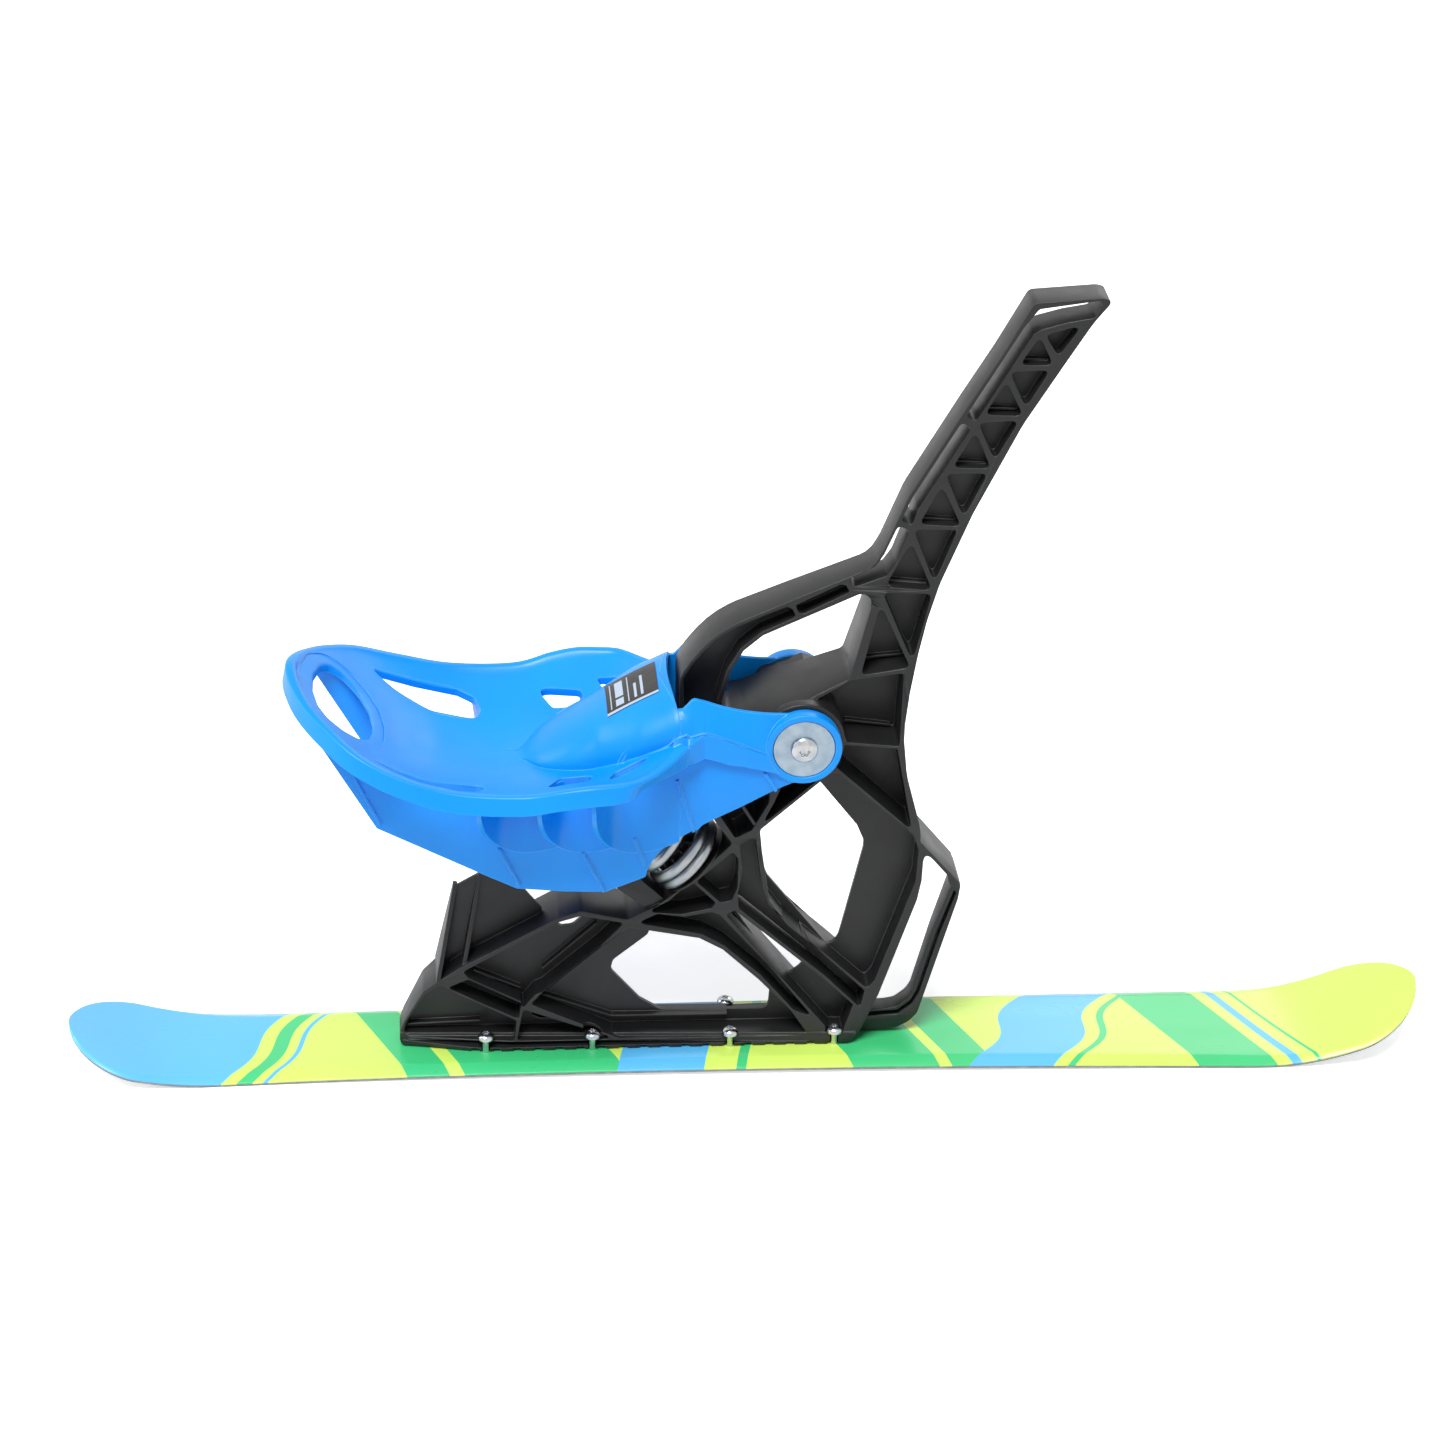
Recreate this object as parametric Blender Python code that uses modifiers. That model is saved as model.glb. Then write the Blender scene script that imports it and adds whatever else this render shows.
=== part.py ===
"""Ski sled: a moulded seat that swings on a coil spring, on a ribbed frame on one short ski.

Outlines are written in millimetres and scaled by MM when an object is made. X runs forward,
Y to the left and Z up, and the origin lies on the ground under the middle of the ski.
"""

from math import cos, pi, radians, sin, sqrt

import bmesh
import bpy
from mathutils import Matrix, Vector

MM = 0.001
GAP = 0.3

# Ski
SKI_HALF_LENGTH = 550.0
SKI_WAIST = 49.9
SKI_WAIST_X = -230.0
TIP_FLARE = 6.8
TAIL_FLARE = 4.6
SKI_CAMBER = 3.5
SKI_CONTACT = SKI_HALF_LENGTH - 150.0
END_START = SKI_HALF_LENGTH - 53.0
END_FULLNESS = 1.9
TIP_START = SKI_HALF_LENGTH - 139.0
TIP_RISE = 44.0
TAIL_START = SKI_HALF_LENGTH - 122.0
TAIL_RISE = 28.0
BASE_THICKNESS = 1.2
EDGE_WIDTH = 2.2
EDGE_HEIGHT = 1.8
SHEET_THICKNESS = 1.2
CAP_BEVEL = 10.0
END_BEVEL = 4.0
MIDDLE_THICKNESS = 8.0
SHOULDER_THICKNESS = 6.8
END_THICKNESS = 5.5

# Rail and its screws
RAIL_REAR = -285.0
RAIL_FRONT = 84.0
RAIL_TOP = 22.5
RAIL_HALF_WIDTH = 27.0
TOOTH_PITCH = 17.0
TOOTH_DEPTH = 2.5
SCREW_X = (-216.0, -130.0, -18.5, 66.6)
SCREW_Y = 23.5
SCREW_RADIUS = 2.9
SCREW_HEAD_RADIUS = 6.7
SCREW_HEAD_HEIGHT = 5.5
SCREW_DEPTH = 3.6
HEAD_ROOM = 1.0
HEAD_WELL = 12.0
INSERT_RADIUS = 4.7
INSERT_WALL = 1.4

# Frame
PIVOT = (28.5, 300.8)
WEB_HALF = 1.9
BOSS_RADIUS = 33.0
BOSS_HALF = 45.7

# Pivot
AXLE_RADIUS = 8.0
AXLE_BORE = 4.3
BUSH_WALL = 3.0
BUSH_FLANGE = 16.0
BUSH_FLANGE_THICKNESS = 2.2
BUSH_LENGTH = 20.0
WASHER_RADIUS = 24.0
WASHER_THICKNESS = 2.6
BOLT_RADIUS = 3.9
BOLT_LENGTH = 24.0
BOLT_HEAD_RADIUS = 10.5
BOLT_HEAD_HEIGHT = 4.6

# Seat
SHELL_THICKNESS = 4.0
LIP_THICKNESS = 4.5
LIP_HEIGHT = 16.5
ARM_THICKNESS = 11.3
ARM_INNER = BOSS_HALF + 2 * GAP
ARM_OUTER = ARM_INNER + ARM_THICKNESS
WASHER_FACE = ARM_OUTER - 2 * GAP
AXLE_HALF = WASHER_FACE - WASHER_THICKNESS - 2 * GAP
ARM_BOSS_RADIUS = 29.5
SKIRT_INNER = ARM_INNER + 4.2
SKIRT_OUTER = SKIRT_INNER + 4.5
HORN_REAR = -186.0
HORN_MOUTH = -75.0
HORN_NOSE = 272.5
HORN_TOP = 355.5

# Spring
SPRING_FOOT = (-51.0, 174.5)
SPRING_LEAN = 46.2
SPRING_SPACE = 94.0
WIRE_RADIUS = 4.5
COIL_RADIUS = 28.0
COIL_TURNS = 6.5
CURL_POINTS = 10
CUP_THICKNESS = 4.0
CUP_RADIUS = 32.0
SPIGOT_RADIUS = 22.0
SPIGOT_HEIGHT = 8.0
STOP_RADIUS = 15.0
STOP_HEIGHT = 48.0
STOP_RECESS = 9.0
CAP_SCREW_RADIUS = 2.9
CAP_HEAD_RADIUS = 5.4
CAP_HEAD_HEIGHT = 3.6
CAP_SCREW_REACH = 12.0
BULKHEAD_THICKNESS = 5.0
BULKHEAD_LOW = -46.0
BULKHEAD_HIGH = 58.0
BULKHEAD_WALL = 4.0
BULKHEAD_TOP = 272.0

# Plate on the horn
PLATE_THICKNESS = 0.5
PLATE_X = (-122.0, -84.0)
PLATE_ACROSS = (0.06, 0.7)


def new_material(name, colour, roughness, metallic=0.0):
    """Makes a Principled material."""
    material = bpy.data.materials.new(name)
    material.use_nodes = True
    shader = material.node_tree.nodes["Principled BSDF"]
    shader.inputs["Base Color"].default_value = (*colour, 1.0)
    shader.inputs["Roughness"].default_value = roughness
    shader.inputs["Metallic"].default_value = metallic
    return material


def between(keys, x):
    """Reads a value at x from key pairs (x, value), in a straight line between keys."""
    if x <= keys[0][0]:
        return keys[0][1]
    for (x0, v0), (x1, v1) in zip(keys, keys[1:]):
        if x <= x1:
            t = (x - x0) / (x1 - x0)
            return v0 + (v1 - v0) * t
    return keys[-1][1]


def rounded(points, radius, steps=2):
    """Rounds each corner of a closed outline with an arc."""
    result = []
    count = len(points)
    for i, corner in enumerate(points):
        here = Vector(corner)
        back = Vector(points[i - 1]) - here
        ahead = Vector(points[(i + 1) % count]) - here
        turn = back.angle(ahead)
        reach = min(radius / max(sin(turn / 2), 0.2) * cos(turn / 2), back.length * 0.45,
                    ahead.length * 0.45)
        if turn > radians(152) or reach < 0.3:
            result.append((here.x, here.y))
            continue
        start = here + back.normalized() * reach
        end = here + ahead.normalized() * reach
        count_here = steps if turn < radians(125) else 1
        for k in range(count_here + 1):
            t = k / count_here
            spot = start * (1 - t) ** 2 + here * 2 * t * (1 - t) + end * t ** 2
            result.append((spot.x, spot.y))
    return result


def offset(points, distance):
    """Moves a closed outline outward by a distance, or inward if it is negative."""
    area = sum(a[0] * b[1] - b[0] * a[1] for a, b in zip(points, points[1:] + points[:1]))
    side = distance if area > 0 else -distance
    result = []
    for i, corner in enumerate(points):
        here = Vector(corner)
        before = (here - Vector(points[i - 1])).normalized()
        after = (Vector(points[(i + 1) % len(points)]) - here).normalized()
        n0 = Vector((before.y, -before.x))
        n1 = Vector((after.y, -after.x))
        scale = side / max(1.0 + n0.dot(n1), 0.35)
        spot = here + (n0 + n1) * scale
        result.append((spot.x, spot.y))
    return result


def link(obj, material=None):
    """Puts an object in the sled's collection."""
    parts.objects.link(obj)
    if material is not None:
        obj.data.materials.clear()
        obj.data.materials.append(material)
    return obj


def as_mesh(obj, name):
    """Turns an evaluated object into a welded mesh object at the origin."""
    bpy.context.view_layer.update()
    graph = bpy.context.evaluated_depsgraph_get()
    mesh = bpy.data.meshes.new_from_object(obj.evaluated_get(graph))
    mesh.transform(obj.matrix_world)
    welded = bmesh.new()
    welded.from_mesh(mesh)
    bmesh.ops.remove_doubles(welded, verts=welded.verts, dist=0.00001)
    bmesh.ops.recalc_face_normals(welded, faces=welded.faces)
    welded.to_mesh(mesh)
    welded.free()
    bpy.data.objects.remove(obj)
    mesh.name = name
    solid = bpy.data.objects.new(name, mesh)
    parts.objects.link(solid)
    return solid


def plate(name, loops, low, high, plane="XZ"):
    """Extrudes flat outlines between two heights: along Y from an XZ plane, else along Z."""
    curve = bpy.data.curves.new(name, "CURVE")
    curve.dimensions = "2D"
    curve.fill_mode = "BOTH"
    curve.extrude = (high - low) / 2 * MM
    for loop in loops:
        spline = curve.splines.new("POLY")
        spline.points.add(len(loop) - 1)
        for point, (u, v) in zip(spline.points, loop):
            point.co = (u * MM, v * MM, 0.0, 1.0)
        spline.use_cyclic_u = True
    obj = bpy.data.objects.new(name, curve)
    parts.objects.link(obj)
    middle = (low + high) / 2 * MM
    if plane == "XZ":
        obj.rotation_euler.x = pi / 2
        obj.location.y = middle
    else:
        obj.location.z = middle
    return as_mesh(obj, name)


def turned(name, profile, axis, centre, steps=32):
    """Spins a profile of (radius, height) points about an axis through a centre."""
    mesh = bpy.data.meshes.new(name)
    shape = bmesh.new()
    points = [shape.verts.new((r * MM, 0.0, h * MM)) for r, h in profile]
    for a, b in zip(points, points[1:]):
        shape.edges.new((a, b))
    if profile[0][0] > 0:
        shape.edges.new((points[-1], points[0]))
    shape.to_mesh(mesh)
    shape.free()
    obj = bpy.data.objects.new(name, mesh)
    parts.objects.link(obj)
    screw = obj.modifiers.new("Turn", "SCREW")
    screw.steps = steps
    screw.render_steps = steps
    screw.use_merge_vertices = True
    screw.merge_threshold = 0.00001
    obj.rotation_mode = "QUATERNION"
    obj.rotation_quaternion = Vector((0, 0, 1)).rotation_difference(Vector(axis))
    obj.location = Vector(centre) * MM
    return as_mesh(obj, name)


def combine(target, tool, operation, crossing=False):
    """Applies a Boolean between two solids and removes the tool."""
    modifier = target.modifiers.new(operation, "BOOLEAN")
    modifier.operation = operation
    modifier.solver = "EXACT"
    modifier.use_self = crossing
    modifier.object = tool
    bpy.context.view_layer.update()
    graph = bpy.context.evaluated_depsgraph_get()
    mesh = bpy.data.meshes.new_from_object(target.evaluated_get(graph))
    clean = bmesh.new()
    clean.from_mesh(mesh)
    bmesh.ops.remove_doubles(clean, verts=clean.verts, dist=0.00001)
    bmesh.ops.dissolve_degenerate(clean, edges=clean.edges, dist=0.000005)
    bmesh.ops.dissolve_limit(clean, angle_limit=radians(0.2), verts=clean.verts, edges=clean.edges)
    torn = [edge for edge in clean.edges if edge.is_boundary]
    if torn:
        bmesh.ops.holes_fill(clean, edges=torn, sides=8)
    clean.to_mesh(mesh)
    clean.free()
    target.modifiers.clear()
    target.data = mesh
    bpy.data.objects.remove(tool)


def merge_meshes(name, objects):
    """Joins separate solids into one object without a Boolean."""
    joined = bmesh.new()
    for obj in objects:
        joined.from_mesh(obj.data)
        bpy.data.objects.remove(obj)
    mesh = bpy.data.meshes.new(name)
    joined.to_mesh(mesh)
    joined.free()
    obj = bpy.data.objects.new(name, mesh)
    parts.objects.link(obj)
    return obj


def finish(obj, material, origin=None, angle=35.0):
    """Gives a solid its material, its origin and smooth round faces."""
    obj.data.materials.clear()
    obj.data.materials.append(material)
    obj.data.shade_smooth()
    obj.data.set_sharp_from_angle(angle=radians(angle))
    if origin is not None:
        shift = Vector(origin) * MM
        obj.data.transform(Matrix.Translation(-shift))
        obj.location = shift
    return obj


def loft(name, rings, closed=True):
    """Skins equal rings of points into a solid with end caps."""
    mesh = bpy.data.meshes.new(name)
    shape = bmesh.new()
    rows = [[shape.verts.new([c * MM for c in point]) for point in ring] for ring in rings]
    for a, b in zip(rows, rows[1:]):
        span = len(a) if closed else len(a) - 1
        for i in range(span):
            j = (i + 1) % len(a)
            shape.faces.new((a[i], a[j], b[j], b[i]))
    if closed:
        shape.faces.new(rows[0])
        shape.faces.new(rows[-1])
    bmesh.ops.recalc_face_normals(shape, faces=shape.faces)
    shape.to_mesh(mesh)
    shape.free()
    obj = bpy.data.objects.new(name, mesh)
    parts.objects.link(obj)
    return obj


def ski_base_height(x):
    """Underside of the ski: camber between the contact lines and rising ends."""
    height = SKI_CAMBER * max(0.0, 1 - (x / SKI_CONTACT) ** 2)
    start, rise = (TIP_START, TIP_RISE) if x > 0 else (TAIL_START, TAIL_RISE)
    u = (abs(x) - start) / (SKI_HALF_LENGTH - start)
    if u > 0:
        height += rise * (0.22 * u * u * (3 - 2 * u) + 0.78 * u ** 2.5)
    return height


def ski_thickness(x):
    """Thickness of the ski, greatest under the frame."""
    shoulder = SKI_HALF_LENGTH - 130
    return between(((-SKI_HALF_LENGTH, END_THICKNESS), (-shoulder, SHOULDER_THICKNESS),
                    (-shoulder + 120, MIDDLE_THICKNESS), (shoulder - 320, MIDDLE_THICKNESS),
                    (shoulder, SHOULDER_THICKNESS), (SKI_HALF_LENGTH, END_THICKNESS)), x)


def ski_bevel(x):
    """Width of the sloping border of the top sheet, narrow at the ends."""
    end = SKI_HALF_LENGTH - 80
    return between(((-end, END_BEVEL), (-end + 80, CAP_BEVEL), (end - 80, CAP_BEVEL), (end, END_BEVEL)), x)


def ski_top_height(x):
    """Upper face of the ski."""
    return ski_base_height(x) + ski_thickness(x)


def ski_half_width(x, inset=0.0):
    """Half width of the ski's outline, or of an outline set in from it."""
    away = min(abs(x), END_START) * (1 if x > 0 else -1) - SKI_WAIST_X
    if away > 0:
        side = SKI_WAIST + TIP_FLARE * (away / 600) ** 2
    else:
        side = SKI_WAIST + TAIL_FLARE * (-away / 240) ** 3
    length = SKI_HALF_LENGTH - inset
    u = min(1.0, max(0.0, (abs(x) - END_START) / (length - END_START)))
    return (side - inset) * (1 - u ** END_FULLNESS) ** (1 / END_FULLNESS)


def ski_stations(inset):
    """Stations along the ski, close together at its round ends."""
    end = SKI_HALF_LENGTH - inset
    middle = [-300 + 600 * i / 6 for i in range(7)]
    rise = [END_START - away for away in (137, 97, 72, 47, 22, 0)]
    ends = rise + [END_START + (end - END_START) * sin(radians(a)) for a in (16, 32, 47, 60, 71, 79, 84.5)]
    return [-x for x in reversed(ends)] + middle + ends


def ski_slab(name, inset, section):
    """Lofts a section (y, z) given by the half width at each station along the ski."""
    rings = []
    for x in ski_stations(inset):
        rings.append([(x, y, z) for y, z in section(x, ski_half_width(x, inset))])
    return loft(name, rings)


def build_ski():
    """Base sheet, edges, core, inserts and top sheet."""
    base_inset = EDGE_WIDTH + GAP

    def base_section(x, w):
        low = ski_base_height(x)
        return [(-w, low), (-w, low + BASE_THICKNESS), (w, low + BASE_THICKNESS), (w, low)]

    finish(ski_slab("ski_base", base_inset, base_section), base_material)

    for side, name in ((1, "ski_edge_left"), (-1, "ski_edge_right")):
        rings = []
        for x in ski_stations(base_inset):
            outer = ski_half_width(x, 0.4)
            inner = ski_half_width(x, EDGE_WIDTH)
            low = ski_base_height(x)
            rings.append([(x, side * inner, low), (x, side * outer, low),
                          (x, side * outer, low + EDGE_HEIGHT), (x, side * inner, low + EDGE_HEIGHT)])
        finish(loft(name, rings), edge_material)

    def sheet_section(x, w):
        low = ski_base_height(x) + EDGE_HEIGHT + GAP
        top = ski_top_height(x)
        k = min(1.0, w / 16.0)
        slope = ski_bevel(x)
        bevel = slope * k
        wall = 2.0 * k
        outer = [(w, low), (w, low + 1.0), (w - bevel, top - 0.5), (w - bevel - 2.0 * k, top)]
        inner = [(w - wall, low),
                 (w - wall - bevel * (0.5 + 0.025 * slope), top - SHEET_THICKNESS - 0.2 - 0.07 * slope),
                 (w - wall - bevel - 1.6 * k, top - SHEET_THICKNESS)]
        return (outer + [(-y, z) for y, z in reversed(outer)] + [(-y, z) for y, z in inner]
                + list(reversed(inner)))

    sheet = ski_slab("ski_top_sheet", 0.0, sheet_section)

    def core_section(x, w):
        low = ski_base_height(x) + EDGE_HEIGHT + GAP
        top = ski_top_height(x) - SHEET_THICKNESS - GAP
        slope = ski_bevel(x)
        k = min(1.0, w / 16.0)
        outer = w - (2.2 + 0.4 * slope) * k
        inner = w - (3.9 + 0.6 * slope) * k
        drop = 0.25 + 0.06 * slope
        return [(-w, low), (-w, low + 0.4), (-outer, top - drop), (-inner, top),
                (inner, top), (outer, top - drop), (w, low + 0.4), (w, low)]

    core = ski_slab("ski_core", 4.0, core_section)

    core_holes = []
    sheet_holes = []
    for side, tag in ((1, "left"), (-1, "right")):
        for number, x in enumerate(SCREW_X, 1):
            y = side * SCREW_Y
            low = ski_base_height(x) + EDGE_HEIGHT + GAP
            top = ski_top_height(x) - SHEET_THICKNESS - GAP
            outer = INSERT_RADIUS
            inner = INSERT_RADIUS - INSERT_WALL
            wall = [(outer, top - low - GAP), (outer, 0.2), (inner, 0.2), (inner, top - low - GAP)]
            insert = turned("ski_insert_%s_%d" % (tag, number), wall, (0, 0, 1), (x, y, low), 10)
            finish(insert, zinc_material, (x, y, low))
            core_holes.append(turned("hole", [(0, 12), (outer + GAP, 12), (outer + GAP, -3), (0, -3)],
                                     (0, 0, 1), (x, y, low), 10))
            sheet_holes.append(turned("hole", [(0, 8), (SCREW_RADIUS + 0.5, 8),
                                               (SCREW_RADIUS + 0.5, -5), (0, -5)],
                                      (0, 0, 1), (x, y, top), 10))
    combine(core, merge_meshes("holes", core_holes), "DIFFERENCE")
    combine(sheet, merge_meshes("holes", sheet_holes), "DIFFERENCE")
    finish(core, core_material)
    finish(sheet, sheet_material, angle=25)


def on_spring(height, across=0.0):
    """A point of the spring's axis, at a height over its foot."""
    lean = radians(SPRING_LEAN)
    return (SPRING_FOOT[0] - sin(lean) * height + cos(lean) * across, 0,
            SPRING_FOOT[1] + cos(lean) * height + sin(lean) * across)


def spring_axis():
    """Direction of the spring's axis, from the frame up to the seat."""
    lean = radians(SPRING_LEAN)
    return Vector((-sin(lean), 0, cos(lean)))


def in_side_view(points):
    """Side view (x, z) of points in space."""
    return [(point[0], point[2]) for point in points]


GRIP_ALONG = (0.488, 0.873)
GRIP_ACROSS = (0.873, -0.488)
GRIP_DROP = 5.5


def on_grip(across, along):
    """A point of the handle from its distance across the grip bar and along it."""
    return (across * GRIP_ACROSS[0] + along * GRIP_ALONG[0],
            across * GRIP_ACROSS[1] + along * GRIP_ALONG[1] - GRIP_DROP)


HANDLE_REAR = [(-66, 324.5), (-67, 346.5), (-53, 369.5), (-40, 383.5), (-24, 393), (20, 412),
               (78, 436), (87, 446.5), (107, 493.5), (149, 569.5), (189, 642.5), (193, 649.5)]
HANDLE_FRONT = [(240, 655), (247, 647.5), (234, 630.5), (211, 593.5), (187, 552.5), (154, 478.5),
                (131, 422.5), (122, 393.5), (116, 366.5), (110, 332.5), (107, 303.5), (112, 264.5), (126, 216.5), (128, 199.5)]
FENDER_OUTER = [(162, 162.5), (164, 154.5), (134, 38.5), (127, 30.5), (117, 25.5), (97, 23.5), (84, 18.5)]
FOOT_FRONT = [(-283, 18.5), (-286, 28.5), (-283, 38.5), (-267, 67.5), (-256, 76.5)]
UPPER_FLANGE = [(-236, 89.5), (-158, 134.5), (-140, 140.5), (-103, 131.5)]
SPRING_SEAT = in_side_view([on_spring(-GAP, -CUP_RADIUS), on_spring(-GAP, CUP_RADIUS)]) + [(-22, 202)]
BAY_WALL = [(-36, 225.5), (-55, 256.5), (-66, 290.5)]

FRAME_OUTLINE = (HANDLE_REAR + HANDLE_FRONT + FENDER_OUTER + FOOT_FRONT + UPPER_FLANGE
                 + SPRING_SEAT + BAY_WALL)

GRIP_SLOTS = [
    [(197, 646.5), (238, 652.5), (236, 642.5), (199, 634.5), on_grip(-141, 646.5), on_grip(-141, 564.5),
     on_grip(-146.5, 564.5), on_grip(-146.5, 644.5)],
    [on_grip(-141, 558.5), on_grip(-141, 481.5), (108.5, 470.5), (102.8, 473), on_grip(-146.5, 482),
     on_grip(-146.5, 558.5)],
    [(101, 468.5), (106.8, 466.5), (97.5, 438.5), (91, 428.5), (66, 419), (63, 425), (84, 434.5),
     (91.5, 444.5)],
]

TRUSS_POCKETS = [
    [(202, 626.5), (227, 633.5), (212, 607.5)],
    [(197, 623.5), (208, 601.5), (184, 601.5)],
    [(177, 595.5), (206, 596.5), (190, 567.5)],
    [(174, 587.5), (188, 560.5), (160, 561.5)],
    [(154, 554.5), (185, 555.5), (169, 524.5)],
    [(153, 546.5), (166, 517.5), (138, 518.5)],
    [(133, 512.5), (164, 512.5), (148, 477.5)],
    [(130, 502.5), (146, 469.5), (115, 471.5)],
    [(111, 466.5), (144, 465.5), (128, 423.5)],
    [(109, 455.5), (126, 417.5), (92, 420.5)],
    [(89, 415.5), (126, 413.5), (113, 360.5)],
    [(87, 406.5), (111, 355.5), (74, 349.5)],
]

ARCH_POCKETS = [
    [(17, 402.5), (7, 399.5), (-30, 381.5), (-42, 369.5), (-55, 350.5), (-61, 335.5), (-61, 294.5), (-50, 258.5),
     (-31, 228.5), (-20, 208.5), (-4, 217.5), (8, 243.5), (6, 284.5), (-30, 306.5), (-37, 324.5), (-31, 351.5),
     (-21, 371.5), (-5, 385.5), (22, 396.5)],
    [(20, 405.5), (56, 421.5), (62, 415.5), (26, 399.5)],
]

BODY_POCKETS = [
    [(39, 330.5), (49, 335.5), (66, 344.5), (106, 349.5), (104, 293.5), (65, 297.5), (57, 319.5)],
    [(60, 291.5), (103, 287.5), (119, 218.5), (59, 275.5)],
    [(3, 215.5), (14, 240.5), (22, 270.5), (44, 262.5)],
    [(-85, 138.5), (-53, 164.5), (-34, 145.5), (-37, 141.5), (-60, 136.5)],
    [(-48, 167.5), (-21, 191.5), (-17, 184.5), (-17, 159.5), (-21, 148.5), (-29, 146.5)],
    [(-15, 199.5), (-4, 208.5), (0, 204.5), (4, 159.5), (12, 141.5), (55, 98.5), (89, 60.5), (86, 46.5),
     (56, 77.5), (-14, 140.5), (-15, 154.5), (-12, 174.5)],
    [(-18, 137.5), (54, 73.5), (80, 47.5), (72, 20.5), (64, 24.5), (13, 88.5), (-24, 134.5)],
    [(-94, 128.5), (-80, 135.5), (-58, 132.5), (-36, 136.5), (-30, 133.5), (8, 86.5), (46, 36.5), (33, 44.5),
     (5, 78.5), (-25, 106.5), (-43, 117.5)],
    [(-180, 54.5), (-170, 65.5), (-123, 104.5), (-102, 123.5), (-46, 112.5), (-27, 101.5), (3, 72.5),
     (30, 42.5), (44, 20.5), (-108, 20.5)],
    [(-184, 46.5), (-117, 20.5), (-187, 20.5)],
    [(-229, 80.5), (-233, 85.5), (-157, 130.5), (-140, 135.5), (-107, 127.5), (-126, 106.5), (-177, 63.5),
     (-187, 51.5), (-187, 56.5)],
    [(-245, 69.5), (-230, 78.5), (-188, 54.5), (-190, 40.5)],
    [(-281, 20.5), (-283, 29.5), (-280, 38.5), (-265, 64.5), (-252, 72.5), (-190, 37.5), (-192, 20.5)],
]

OPENING_ARCH = [(-33, 323.5), (-27, 350.5), (-18, 368.5), (-3, 381.5), (73, 415.5), (81, 409.5), (65, 346.5),
                (24, 328.5), (3, 321.5), (-15, 314.5), (-29, 312.5)]
OPENING_COLUMN = [(50, 262.5), (56, 269.5), (121, 208.5), (128, 190.5), (127, 162.5), (99, 72.5), (92, 64.5),
                  (58, 101.5), (15, 145.5), (8, 160.5), (3, 213.5)]
OPENING_FENDER = [(131, 190.5), (152, 166.5), (151, 157.5), (124, 56.5), (118, 50.5), (107, 49.5), (101, 56.5),
                  (128, 144.5), (131, 162.5)]

WEB_OPENINGS = [
    offset(OPENING_ARCH, 1.0),
    [(49, 258.5), (85, 202.5), (87, 184.5), (69, 97.5), (62, 91.5), (9, 142.5), (4, 159.5), (0, 209.5)],
    offset(OPENING_FENDER, 1.0),
    [(-99, 128.5), (-82, 107.5), (-113, 81.5), (-115, 72.5), (-91, 44.5), (-74, 33.5), (14, 32.5), (15, 50.5),
     (5, 70.5), (-24, 104.5), (-45, 115.5)],
    [(-22, 136.5), (-14, 141.5), (48, 84.5), (38, 71.5), (30, 64.5), (10, 86.5)],
    [(-158, 116.5), (-148, 123.5), (-137, 123.5), (-146, 114.5), (-155, 113.5)],
]

POST_WEB = [(-252, 78.5), (-239, 152.5), (-219, 164.5), (-188, 152.5), (-169, 128.5), (-200, 106.5)]
POST_RIBS = (((-254, 74.5), (-239.5, 154.5)), ((-233.5, 86.5), (-219.5, 165.5)))
POST_RIB_SIZES = (3.4, 23.8, 3.0)
POST_WEB_HALF = 1.7

BODY_WIDTHS = ((0, 24), (184.5, 24), (229.5, 37), (319.5, 37), (346.5, 28), (367.5, 26.5), (394.5, 23),
               (422.5, 19), (474.5, 14.5), (494.5, 13.25))
ARCH_WIDTHS = ((-60, 21.5), (0, 19.5), (85, 15.5))
ARCH_FOOT = (0, 320)
ARCH_EDGE = 325
ARCH_ROOT = (-25, 285)


def frame_half_width(x, z):
    """Half width of the frame's ribs at a place of its side view."""
    on_arch = z > ARCH_FOOT[1] and x < z - ARCH_EDGE or z > ARCH_ROOT[1] and x < ARCH_ROOT[0]
    return between(ARCH_WIDTHS, x) if on_arch else between(BODY_WIDTHS, z)


def strip(name, start, end, thickness, half_start, half_end):
    """A rib between two points, of one thickness and two half widths."""
    along = (Vector(end) - Vector(start)).normalized()
    side = Vector((-along.y, along.x)) * thickness / 2
    rings = []
    for spot, half in ((start, half_start), (end, half_end)):
        a = Vector(spot) + side
        b = Vector(spot) - side
        rings.append([(a.x, -half, a.y), (b.x, -half, b.y), (b.x, half, b.y), (a.x, half, a.y)])
    return loft(name, rings)


def rail_outline():
    """Side view of the rail, with small teeth that follow the ski's top face."""
    points = [(RAIL_REAR, RAIL_TOP), (RAIL_FRONT, RAIL_TOP), (RAIL_FRONT, RAIL_TOP - 4)]
    x = RAIL_FRONT - 6.0
    while x > RAIL_REAR + TOOTH_PITCH:
        low = ski_top_height(x) + GAP
        points.append((x, low))
        points.append((x - TOOTH_PITCH * 0.55, ski_top_height(x - TOOTH_PITCH * 0.55) + GAP))
        points.append((x - TOOTH_PITCH * 0.65, low + TOOTH_DEPTH))
        points.append((x - TOOTH_PITCH * 0.95, low + TOOTH_DEPTH))
        x -= TOOTH_PITCH
    points.append((x, ski_top_height(x) + GAP))
    points.append((RAIL_REAR, ski_top_height(RAIL_REAR) + GAP))
    return points


def screw_slots():
    """Open slots in the rail's sides, one for each screw."""
    loops = []
    radius = SCREW_RADIUS + 0.5
    for x in SCREW_X:
        for side in (-1, 1):
            loop = [(x + radius, side * 40)]
            loop += [(x + radius * cos(a), side * (SCREW_Y - radius * sin(a)))
                     for a in [pi * k / 8 for k in range(9)]]
            loop.append((x - radius, side * 40))
            loops.append(loop)
    return loops


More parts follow.
